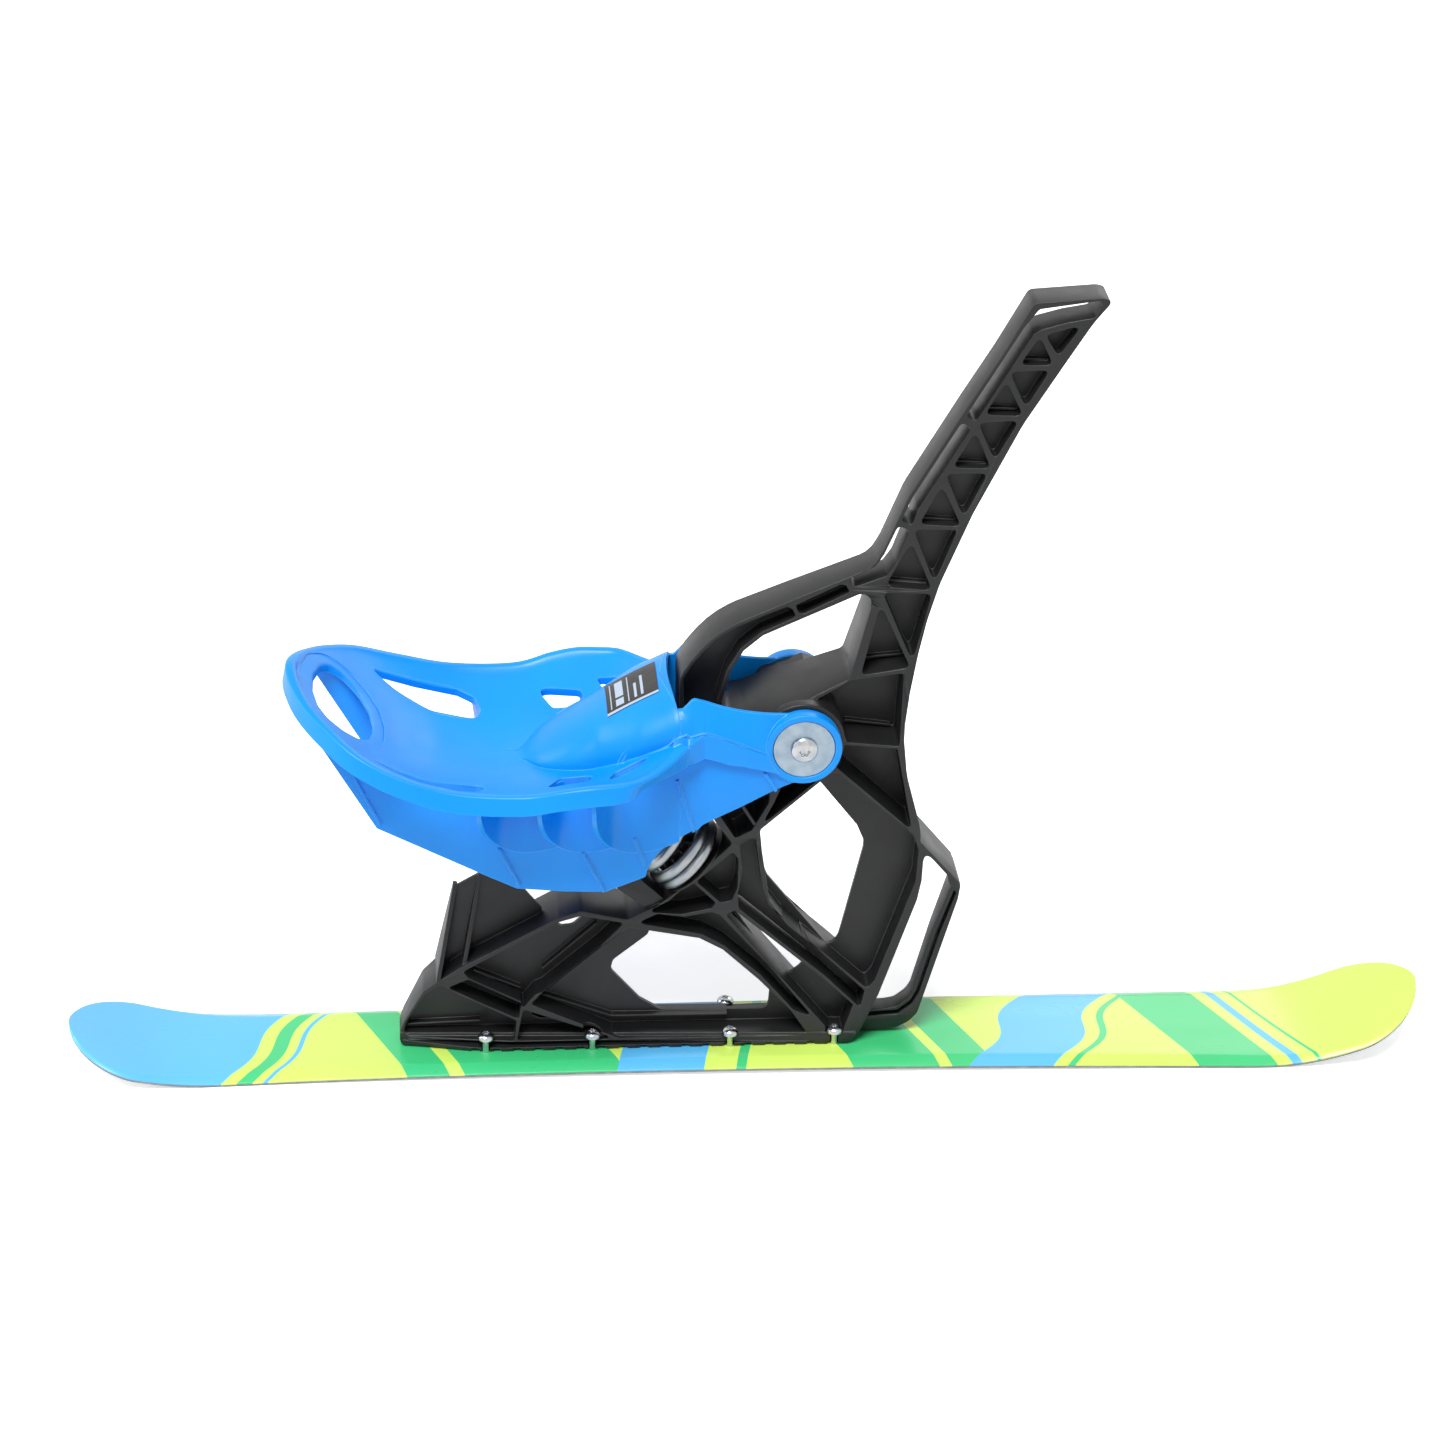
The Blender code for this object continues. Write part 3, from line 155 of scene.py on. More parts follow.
def smooth_path(points: Sequence[Point3], steps: int) -> list[Vector]:
    """Curves smoothly through points in space.

    Args:
        points: Points that the path passes, in order.
        steps: Spans between two neighbouring points.

    Returns:
        The points of the path.
    """
    knots = [Vector(point) for point in points]
    result = []
    for i in range(len(knots) - 1):
        p1, p2 = knots[i], knots[i + 1]
        p0 = knots[i - 1] if i else p1 - (p2 - p1)
        p3 = knots[i + 2] if i + 2 < len(knots) else p2 + (p2 - p1)
        for k in range(steps):
            t = k / steps
            result.append(0.5 * (2 * p1 + (p2 - p0) * t + (2 * p0 - 5 * p1 + 4 * p2 - p3) * t * t
                                 + (3 * p1 - p0 - 3 * p2 + p3) * t ** 3))
    result.append(knots[-1])
    return result


def rounded(points: Sequence[Point2], radius: float, steps: int = 5, closed: bool = True) -> Outline:
    """Rounds the corners of an outline.

    Args:
        points: Corners in order.
        radius: Radius of each corner, less where its sides are short.
        steps: Spans of each arc.
        closed: Whether the last corner joins the first.

    Returns:
        The rounded outline.
    """
    result: Outline = []
    count = len(points)
    for i, corner in enumerate(points):
        here = Vector(corner)
        if not closed and i in (0, count - 1):
            result.append((here.x, here.y))
            continue
        back = Vector(points[i - 1]) - here
        ahead = Vector(points[(i + 1) % count]) - here
        turn = back.angle(ahead)
        reach = min(radius / max(sin(turn / 2), 0.2) * cos(turn / 2), back.length * 0.45,
                    ahead.length * 0.45)
        if reach < 0.15:
            result.append((here.x, here.y))
            continue
        start = here + back.normalized() * reach
        end = here + ahead.normalized() * reach
        spans = max(1, round(steps * (pi - turn) / 1.6))
        for k in range(spans + 1):
            t = k / spans
            spot = start * (1 - t) ** 2 + here * 2 * t * (1 - t) + end * t ** 2
            result.append((spot.x, spot.y))
    return result


def offset(points: Sequence[Point2], distance: float) -> Outline:
    """Moves a closed outline outward.

    Args:
        points: Corners in order.
        distance: Distance outward, or inward if it is negative.

    Returns:
        The moved outline.
    """
    loop = list(points)
    area = sum(a[0] * b[1] - b[0] * a[1] for a, b in zip(loop, loop[1:] + loop[:1]))
    side = distance if area > 0 else -distance
    result: Outline = []
    for i, corner in enumerate(loop):
        here = Vector(corner)
        before = (here - Vector(loop[i - 1])).normalized()
        after = (Vector(loop[(i + 1) % len(loop)]) - here).normalized()
        n0 = Vector((before.y, -before.x))
        n1 = Vector((after.y, -after.x))
        spot = here + (n0 + n1) * side / max(1.0 + n0.dot(n1), 0.35)
        result.append((spot.x, spot.y))
    return result


def held(shape: Shape, name: str) -> bpy.types.Object:
    """Puts a shape in a helper object of the scene.

    Args:
        shape: The shape; it is used up.
        name: Name of the helper.

    Returns:
        The helper object.
    """
    mesh = bpy.data.meshes.new(name)
    shape.to_mesh(mesh)
    shape.free()
    holder = bpy.data.objects.new(name, mesh)
    bpy.context.scene.collection.objects.link(holder)
    return holder


def evaluated(holder: bpy.types.Object) -> Shape:
    """Reads an object's shape with its modifiers applied.

    Args:
        holder: Object in the scene.

    Returns:
        The shape.
    """
    bpy.context.view_layer.update()
    graph = bpy.context.evaluated_depsgraph_get()
    mesh = bpy.data.meshes.new_from_object(holder.evaluated_get(graph))
    shape = bmesh.new()
    shape.from_mesh(mesh)
    bpy.data.meshes.remove(mesh)
    return shape


def drop(*holders: bpy.types.Object) -> None:
    """Removes helper objects with their meshes.

    Args:
        *holders: The helpers.
    """
    for holder in holders:
        mesh = holder.data
        bpy.data.objects.remove(holder)
        bpy.data.meshes.remove(mesh)


def clean(shape: Shape) -> Shape:
    """Merges doubles and turns faces outward.

    Args:
        shape: The shape, which is changed.

    Returns:
        The same shape.
    """
    bmesh.ops.remove_doubles(shape, verts=shape.verts, dist=WELD)
    bmesh.ops.recalc_face_normals(shape, faces=shape.faces)
    return shape


def skin(rows: Sequence[Sequence[Sequence[float]]], ring: bool = True, caps: bool = True) -> Shape:
    """Draws a first row of points along a surface, row by row.

    Args:
        rows: Equal rows of points in space.
        ring: Whether each row closes on itself.
        caps: Whether the first and last rows are filled.

    Returns:
        The surface in millimetres.
    """
    shape = bmesh.new()
    verts = [shape.verts.new(point) for point in rows[0]]
    edges = [shape.edges.new(pair) for pair in zip(verts, verts[1:])]
    if ring:
        edges.append(shape.edges.new((verts[-1], verts[0])))
    for row in rows[1:]:
        made = bmesh.ops.extrude_edge_only(shape, edges=edges)["geom"]
        fresh = {item for item in made if isinstance(item, bmesh.types.BMVert)}
        verts = [next(edge.other_vert(vert) for edge in vert.link_edges if edge.other_vert(vert) in fresh)
                 for vert in verts]
        for vert, point in zip(verts, row):
            vert.co = point
        edges = [item for item in made if isinstance(item, bmesh.types.BMEdge)
                 and item.verts[0] in fresh and item.verts[1] in fresh]
    if caps:
        open_edges = [edge for edge in shape.edges if edge.is_boundary]
        bmesh.ops.holes_fill(shape, edges=open_edges, sides=0)
    return clean(shape)


def turned(profile: Sequence[Point2], axis: Sequence[float], centre: Sequence[float],
           steps: int = 48) -> Shape:
    """Spins a profile round an axis.

    Args:
        profile: Pairs of radius and height along the axis; it closes on itself off the axis.
        axis: Direction of the axis.
        centre: Point of height zero on the axis.
        steps: Spans of the full turn.

    Returns:
        The turned shape in millimetres.
    """
    shape = bmesh.new()
    verts = [shape.verts.new((radius, 0, height)) for radius, height in profile]
    edges = [shape.edges.new(pair) for pair in zip(verts, verts[1:])]
    if profile[0][0] > 0 and profile[-1][0] > 0:
        edges.append(shape.edges.new((verts[-1], verts[0])))
    bmesh.ops.spin(shape, geom=verts + edges, cent=(0, 0, 0), axis=(0, 0, 1), dvec=(0, 0, 0), angle=tau,
                   steps=steps, use_merge=True, use_duplicate=False)
    turn = Vector((0, 0, 1)).rotation_difference(Vector(axis)).to_matrix()
    bmesh.ops.rotate(shape, verts=shape.verts, cent=(0, 0, 0), matrix=turn)
    bmesh.ops.translate(shape, verts=shape.verts, vec=centre)
    return clean(shape)


def plate(loops: Sequence[Sequence[Point2]], low: float, high: float, plane: Plane = Plane.SIDE,
          edge: float = 0.0, segments: int = 2) -> Shape:
    """Extrudes flat outlines between two heights, with rounded edges.

    Args:
        loops: Outer outlines and the holes inside them.
        low: Lowest height across the plane.
        high: Highest height across the plane.
        plane: Plane of the outlines; the plate is extruded across it.
        edge: Radius of the rounded edges.
        segments: Rounding segments of each edge.

    Returns:
        The plate in millimetres.
    """
    curve = bpy.data.curves.new("outline", "CURVE")
    curve.dimensions = "2D"
    curve.fill_mode = "BOTH"
    curve.extrude = (high - low) / 2 - edge
    curve.bevel_depth = edge
    curve.offset = -edge
    curve.bevel_resolution = segments - 1
    for loop in loops:
        spline = curve.splines.new("POLY")
        spline.points.add(len(loop) - 1)
        for point, (u, v) in zip(spline.points, loop):
            point.co = (u, v, 0.0, 1.0)
        spline.use_cyclic_u = True
    holder = bpy.data.objects.new("outline", curve)
    bpy.context.scene.collection.objects.link(holder)
    shape = evaluated(holder)
    bpy.data.objects.remove(holder)
    bpy.data.curves.remove(curve)
    middle = (low + high) / 2
    if plane is Plane.SIDE:
        turn = Matrix.Rotation(pi / 2, 3, "X")
        bmesh.ops.rotate(shape, verts=shape.verts, cent=(0, 0, 0), matrix=turn)
        bmesh.ops.translate(shape, verts=shape.verts, vec=(0, middle, 0))
    else:
        bmesh.ops.translate(shape, verts=shape.verts, vec=(0, 0, middle))
    return clean(shape)


def merged(*shapes: Shape) -> Shape:
    """Puts several shapes into the first one, each still its own shell.

    Args:
        *shapes: The shapes; all but the first are used up.

    Returns:
        The first shape.
    """
    whole = shapes[0]
    for other in shapes[1:]:
        mesh = bpy.data.meshes.new("shell")
        other.to_mesh(mesh)
        other.free()
        whole.from_mesh(mesh)
        bpy.data.meshes.remove(mesh)
    return whole


def mirrored(shape: Shape) -> Shape:
    """Adds the mirror image across the middle plane.

    Args:
        shape: One half, which is changed.

    Returns:
        The same shape with both halves.
    """
    other = shape.copy()
    bmesh.ops.scale(other, vec=(1, -1, 1), verts=other.verts)
    bmesh.ops.reverse_faces(other, faces=other.faces)
    return merged(shape, other)


def cut(shape: Shape, tool: Shape) -> Shape:
    """Cuts one solid out of another.

    Args:
        shape: Solid that is kept; it is used up.
        tool: Solid that is taken away; it is used up.

    Returns:
        The resulting solid.
    """
    solid, knife = held(shape, "solid"), held(tool, "knife")
    modifier = solid.modifiers.new("cut", "BOOLEAN")
    modifier.operation = "DIFFERENCE"
    modifier.solver = "EXACT"
    modifier.object = knife
    result = evaluated(solid)
    bmesh.ops.remove_doubles(result, verts=result.verts, dist=WELD)
    drop(solid, knife)
    return result


def walled(shape: Shape, thickness: float) -> Shape:
    """Gives an open sheet a wall on its inner side.

    Args:
        shape: The sheet; it is used up.
        thickness: Thickness of the wall.

    Returns:
        The closed shape.
    """
    holder = held(shape, "open_sheet")
    modifier = holder.modifiers.new("wall", "SOLIDIFY")
    modifier.thickness = thickness
    modifier.offset = -1.0
    result = evaluated(holder)
    drop(holder)
    return result


def settle(shape: Shape, name: str, material: bpy.types.Material, body: Body,
           stands_for: Sequence[str] = (), angle: float = 35.0) -> bpy.types.Object:
    """Makes a finished piece from a shape and lets it ride on its body.

    Args:
        shape: The piece's shape in millimetres; it is used up.
        name: Name of the piece.
        material: Finish of the piece.
        body: Body that carries it.
        stands_for: Solids of the frame that it replaces.
        angle: Edges sharper than this, in degrees, stay sharp.

    Returns:
        The piece.
    """
    bmesh.ops.scale(shape, vec=(MM, MM, MM), verts=shape.verts)
    mesh = bpy.data.meshes.new(name)
    shape.to_mesh(mesh)
    shape.free()
    mesh.materials.append(material)
    mesh.shade_smooth()
    mesh.set_sharp_from_angle(angle=radians(angle))
    piece = bpy.data.objects.new(name, mesh)
    bpy.context.scene.collection.objects.link(piece)
    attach(piece, body.value)
    if stands_for:
        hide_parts(*stands_for)
    log.info("%s: %d faces", name, len(mesh.polygons))
    return piece


class Board:
    """Shader nodes of one material, with short calls that add and join them."""

    def __init__(self, name: str) -> None:
        """Starts a material with its Principled shader.

        Args:
            name: Name of the material.
        """
        self.material = bpy.data.materials.new(name)
        self.material.use_nodes = True
        self.tree = self.material.node_tree
        self.shader = self.tree.nodes["Principled BSDF"]
        self.place = self.add("TexCoord").outputs["Object"]

    def feed(self, node: bpy.types.Node, inputs: dict) -> None:
        """Sets or joins inputs of a node.

        Args:
            node: Node whose inputs change.
            inputs: Values or output sockets by input name or number.
        """
        for key, value in inputs.items():
            if isinstance(value, bpy.types.NodeSocket):
                self.tree.links.new(value, node.inputs[key])
            else:
                node.inputs[key].default_value = value

    def add(self, kind: str, inputs: dict | None = None, **settings: object) -> bpy.types.Node:
        """Adds a shader node.

        Args:
            kind: Node type without its prefix.
            inputs: Values or output sockets by input name or number.
            **settings: Properties of the node.

        Returns:
            The node.
        """
        node = self.tree.nodes.new("ShaderNode" + kind)
        for key, value in settings.items():
            setattr(node, key, value)
        self.feed(node, inputs or {})
        return node

    def math(self, operation: str, *values: object) -> bpy.types.NodeSocket:
        """Adds one calculation and returns its result."""
        node = self.add("Math", dict(enumerate(values)), operation=operation)
        return node.outputs[0]

    def noise(self, scale: float, detail: float = 3.0,
              stretch: Point3 | None = None) -> bpy.types.NodeSocket:
        """Adds noise on the object's own place.

        Args:
            scale: Repeats to the metre.
            detail: Octaves of finer noise.
            stretch: Scale along each axis, if the noise is drawn out.

        Returns:
            The noise value.
        """
        place = self.place
        if stretch is not None:
            place = self.add("Mapping", {"Vector": place, "Scale": stretch}).outputs[0]
        node = self.add("TexNoise", {"Vector": place, "Scale": scale, "Detail": detail})
        return node.outputs["Fac"]

    def span(self, value: bpy.types.NodeSocket, start: float, end: float, low: float,
             high: float) -> bpy.types.NodeSocket:
        """Maps a value from one range to another, clamped."""
        ends = {"From Min": start, "From Max": end, "To Min": low, "To Max": high}
        return self.add("MapRange", {"Value": value, **ends}).outputs[0]

    def mix(self, share: object, first: object, second: object) -> bpy.types.NodeSocket:
        """Mixes two colours by a share."""
        node = self.add("MixRGB", {0: share, 1: self.full(first), 2: self.full(second)})
        return node.outputs[0]

    @staticmethod
    def full(colour: object) -> object:
        """Adds alpha to a plain colour and leaves a socket as it is."""
        return (*colour, 1.0) if isinstance(colour, tuple) else colour

    def edges(self, radius: float) -> tuple[bpy.types.NodeSocket, bpy.types.NodeSocket]:
        """Softens small edges.

        Args:
            radius: Radius of the edges in metres.

        Returns:
            The softened normal, and how near an edge each place is, from 0 to 1.
        """
        bevel = self.add("Bevel", {"Radius": radius}, samples=4).outputs[0]
        plain = self.add("NewGeometry").outputs["Normal"]
        across = self.add("VectorMath", {0: bevel, 1: plain}, operation="DOT_PRODUCT").outputs["Value"]
        return bevel, self.span(across, 0.995, 0.88, 0.0, 1.0)

    def bump(self, height: bpy.types.NodeSocket, strength: float, depth: float,
             normal: bpy.types.NodeSocket) -> None:
        """Joins a bump to the shader.

        Args:
            height: Height of the bump.
            strength: Share of the bump that shows.
            depth: Depth in metres of a height of 1.
            normal: Normal that the bump is added to.
        """
        node = self.add("Bump", {"Strength": strength, "Distance": depth, "Height": height,
                                 "Normal": normal})
        self.feed(self.shader, {"Normal": node.outputs[0]})


@dataclass(frozen=True)
class MouldedPlastic:
    """Injection moulded plastic with a fine sparked grain and a painted highlight in patches along its edges.
    """

    name: str
    colour: Colour
    highlight_colour: Colour
    roughness: float
    grain: float = 0.22
    edge_radius: float = 0.0009
    highlight_share: float = 0.5
    mottle: float = 0.08
    shine: float = 0.5

    def build(self) -> bpy.types.Material:
        """Makes the material.

        Returns:
            The material.
        """
        board = Board(self.name)
        normal, edge = board.edges(self.edge_radius)
        dark = tuple(c * (1 - self.mottle) for c in self.colour)
        light = tuple(min(1.0, c * (1 + self.mottle)) for c in self.colour)
        tone = board.mix(board.span(board.noise(14.0, 4.0), 0.35, 0.65, 0.0, 1.0), dark, light)
        # Painted highlight: the lighter second colour is mixed in along the edges, broken up in patches by
        # noise.
        patchy_edge = board.math("MULTIPLY", edge, board.span(board.noise(55.0, 4.0), 0.3, 0.7, 0.35, 1.0))
        painted_highlight = board.math("MULTIPLY", patchy_edge, self.highlight_share)
        gloss = board.span(board.noise(38.0, 5.0), 0.3, 0.7, self.roughness - 0.05, self.roughness + 0.07)
        board.feed(board.shader, {"Base Color": board.mix(painted_highlight, tone, self.highlight_colour), "Roughness": gloss})
        board.shader.inputs["Specular IOR Level"].default_value = self.shine
        board.bump(board.noise(1500.0, 2.0), self.grain, 0.00025, normal)
        return board.material


@dataclass(frozen=True)
class Metal:
    """Bare or plated metal with faint brushing."""

    name: str
    colour: Colour
    tint: Colour
    roughness: float
    brushing: float = 0.12
    edge_radius: float = 0.0004

    def build(self) -> bpy.types.Material:
        """Makes the material.

        Returns:
            The material.
        """
        board = Board(self.name)
        normal, _edge = board.edges(self.edge_radius)
        board.shader.inputs["Metallic"].default_value = 1.0
        tone = board.mix(board.span(board.noise(120.0, 4.0), 0.35, 0.65, 0.0, 1.0), self.colour, self.tint)
        gloss = board.span(board.noise(300.0, 4.0), 0.3, 0.7, self.roughness - 0.06, self.roughness + 0.1)
        board.feed(board.shader, {"Base Color": tone, "Roughness": gloss})
        board.bump(board.noise(900.0, 3.0, (1.0, 1.0, 0.2)), self.brushing, 0.0002, normal)
        return board.material


@dataclass(frozen=True)
class SoftPart:
    """Rubber, felt-like or sawn surface with a coarse tone and bump."""

    name: str
    colour: Colour
    second: Colour
    roughness: float
    scale: float
    stretch: Point3 = (1.0, 1.0, 1.0)

    def build(self) -> bpy.types.Material:
        """Makes the material.

        Returns:
            The material.
        """
        board = Board(self.name)
        normal, _edge = board.edges(0.0005)
        tone = board.noise(self.scale, 5.0, self.stretch)
        gloss = board.span(board.noise(90.0, 4.0), 0.3, 0.7, self.roughness - 0.08, self.roughness + 0.08)
        board.feed(board.shader, {"Base Color": board.mix(board.span(tone, 0.3, 0.7, 0.0, 1.0), self.colour,
                                                          self.second), "Roughness": gloss})
        board.bump(tone, 0.3, 0.0003, normal)
        return board.material


@dataclass(frozen=True)
class Band:
    """One printed area between two lines that cross the ski."""

    colour: Colour
    start: float
    end: float
    slant: float = 0.0
    wave: float = 0.0
    turns: float = 80.0
    low: float = -1.0
    high: float = 1.0


BLUE = srgb(92, 186, 238)
LIME = srgb(208, 240, 104)
GREEN = srgb(62, 198, 122)


@dataclass(frozen=True)
class PrintedSheet:
    """Glossy top sheet with slanted bands of three colours under a clear film."""

    name: str
    ground: Colour
    bands: tuple[Band, ...]
    roughness: float = 0.3

    def area(self, board: Board, band: Band, x: bpy.types.NodeSocket,
             y: bpy.types.NodeSocket) -> bpy.types.NodeSocket:
        """Finds the places inside one band.

        Args:
            board: Shader nodes of the sheet.
            band: The band.
            x: Place along the ski.
            y: Place across the ski.

        Returns:
            One inside the band and zero outside it.
        """
        along = board.math("MULTIPLY_ADD", y, band.slant, x)
        if band.wave:
            swing = board.math("SINE", board.math("MULTIPLY", y, band.turns))
            along = board.math("MULTIPLY_ADD", swing, band.wave, along)
        inside = board.math("MULTIPLY", board.math("GREATER_THAN", along, band.start),
                            board.math("LESS_THAN", along, band.end))
        if band.low > -1:
            inside = board.math("MULTIPLY", inside, board.math("GREATER_THAN", y, band.low))
        if band.high < 1:
            inside = board.math("MULTIPLY", inside, board.math("LESS_THAN", y, band.high))
        return inside

    def build(self) -> bpy.types.Material:
        """Makes the material.

        Returns:
            The material.
        """
        board = Board(self.name)
        place = board.add("SeparateXYZ", {0: board.place})
        x, y = place.outputs["X"], place.outputs["Y"]
        colour: object = self.ground
        for band in self.bands:
            colour = board.mix(self.area(board, band, x, y), colour, band.colour)
        shade = board.span(board.noise(9.0, 3.0), 0.3, 0.7, 0.0, 0.07)
        colour = board.mix(shade, colour, (0.05, 0.12, 0.08))
        normal, edge = board.edges(0.0006)
        # Lightens the sheet toward pale grey along its edges, in patches.
        patchy_edge = board.math("MULTIPLY", edge, board.span(board.noise(70.0, 4.0), 0.4, 0.7, 0.0, 0.3))
        gloss = board.span(board.noise(30.0, 5.0, (0.3, 1.0, 1.0)), 0.3, 0.7, self.roughness - 0.06,
                           self.roughness + 0.06)
        board.feed(board.shader, {"Base Color": board.mix(patchy_edge, colour, (0.8, 0.82, 0.8)), "Roughness": gloss})
        board.shader.inputs["Coat Weight"].default_value = 0.25
        board.shader.inputs["Coat Roughness"].default_value = 0.12
        board.bump(board.noise(420.0, 2.0), 0.06, 0.0002, normal)
        return board.material


@dataclass(frozen=True)
class PlainLabel:
    """Satin black label with plain pale bars."""

    name: str
    ground: Colour
    pale: Colour
    bars: tuple[tuple[float, float, float, float], ...]
    roughness: float = 0.34

    def build(self) -> bpy.types.Material:
        """Makes the material.

        Returns:
            The material.
        """
        board = Board(self.name)
        place = board.add("SeparateXYZ", {0: board.place})
        colour: object = self.ground
        for x0, x1, y0, y1 in self.bars:
            inside = board.math("MULTIPLY", board.math("GREATER_THAN", place.outputs["X"], x0),
                                board.math("LESS_THAN", place.outputs["X"], x1))
            across = board.math("MULTIPLY", board.math("GREATER_THAN", place.outputs["Y"], y0),
                                board.math("LESS_THAN", place.outputs["Y"], y1))
            colour = board.mix(board.math("MULTIPLY", inside, across), colour, self.pale)
        normal, _edge = board.edges(0.0002)
        gloss = board.span(board.noise(160.0, 4.0), 0.3, 0.7, self.roughness - 0.06, self.roughness + 0.08)
        board.feed(board.shader, {"Base Color": colour, "Roughness": gloss})
        board.bump(board.noise(700.0, 2.0), 0.05, 0.0002, normal)
        return board.material


LABEL_BARS = (
    (-0.1215, -0.0825, -0.0255, -0.0225),
    (-0.1185, -0.1177, -0.02, 0.02),
    (-0.1145, -0.1085, -0.019, -0.0095),
    (-0.1145, -0.1085, -0.0065, 0.019),
    (-0.1052, -0.1044, -0.02, 0.02),
    (-0.1005, -0.0985, -0.0185, 0.004),
    (-0.0955, -0.0935, -0.0185, 0.012),
)

SHEET_BANDS = (
    Band(BLUE, -1.0, -0.398, -0.55, 0.006, 62.0),
    Band(GREEN, -0.386, -0.374, -0.55, 0.006, 62.0),
    Band(BLUE, -0.366, -0.362, -0.55, 0.006, 62.0),
    Band(GREEN, -0.302, -0.128, 0.45),
    Band(LIME, -0.268, -0.256, 0.45),
    Band(BLUE, -0.1, -0.03, -0.22),
    Band(GREEN, -0.004, 0.004, -0.22),
    Band(GREEN, 0.058, 0.172, 0.42),
    Band(LIME, 0.128, 0.138, 0.42),
    Band(BLUE, 0.206, 0.276, -0.5, 0.007, 75.0),
    Band(GREEN, 0.288, 0.294, -0.5, 0.007, 75.0),
    Band(GREEN, 0.334, 0.398, 0.5),
    Band(BLUE, 0.41, 0.418, 0.5),
    Band(GREEN, 0.43, 0.433, 0.5),
)


class Finishes:
    """All finishes of the sled, made once."""

    def __init__(self) -> None:
        """Makes each material."""
        self.sheet = PrintedSheet("top_sheet_print", LIME, SHEET_BANDS).build()
        self.base = SoftPart("running_base", (0.5, 0.51, 0.52), (0.62, 0.63, 0.64), 0.42, 60.0,
                             (0.1, 1.0, 1.0)).build()
        self.edge = Metal("edge_steel", (0.24, 0.245, 0.25), (0.33, 0.335, 0.34), 0.34).build()
        self.core = SoftPart("core_wood", (0.5, 0.33, 0.16), (0.66, 0.47, 0.27), 0.62, 40.0,
                             (0.06, 1.0, 1.0)).build()
        # The second colour of each moulded plastic is the painted highlight laid along its edges.
        self.frame = MouldedPlastic("frame_nylon", (0.0112, 0.0115, 0.0121), (0.11, 0.112, 0.116), 0.4,
                                    grain=0.3, highlight_share=0.7, mottle=0.12, shine=0.42).build()
        self.seat = MouldedPlastic("seat_moulding", srgb(1, 145, 242), srgb(130, 214, 255), 0.34, grain=0.14,
                                   highlight_share=0.6, mottle=0.04, shine=0.36).build()
        self.zinc = Metal("bright_zinc", (0.4, 0.44, 0.5), (0.62, 0.62, 0.6), 0.18).build()
        self.wire = Metal("spring_wire", (0.34, 0.37, 0.4), (0.44, 0.45, 0.45), 0.34).build()
        self.washer = Metal("washer_zinc", (0.3, 0.39, 0.47), (0.4, 0.48, 0.55), 0.38).build()
        self.recess = MouldedPlastic("recess_dark", (0.02, 0.02, 0.021), (0.05, 0.05, 0.05), 0.5).build()
        self.bush = SoftPart("bush_acetal", (0.64, 0.63, 0.58), (0.7, 0.69, 0.65), 0.42, 80.0).build()
        self.cup = MouldedPlastic("cup_nylon", (0.014, 0.014, 0.015), (0.08, 0.08, 0.082), 0.45).build()
        self.stop = SoftPart("stop_rubber", (0.012, 0.012, 0.012), (0.024, 0.023, 0.022), 0.75,
                             300.0).build()
        self.label = PlainLabel("plain_label", (0.012, 0.0115, 0.011), srgb(176, 190, 208),
                                LABEL_BARS).build()


def dress(name: str, material: bpy.types.Material) -> None:
    """Gives a solid of the frame a better finish.

    Args:
        name: Name of the solid.
        material: Its new finish.
    """
    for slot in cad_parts[name].material_slots:
        slot.material = material
    log.info("%s: new finish", name)


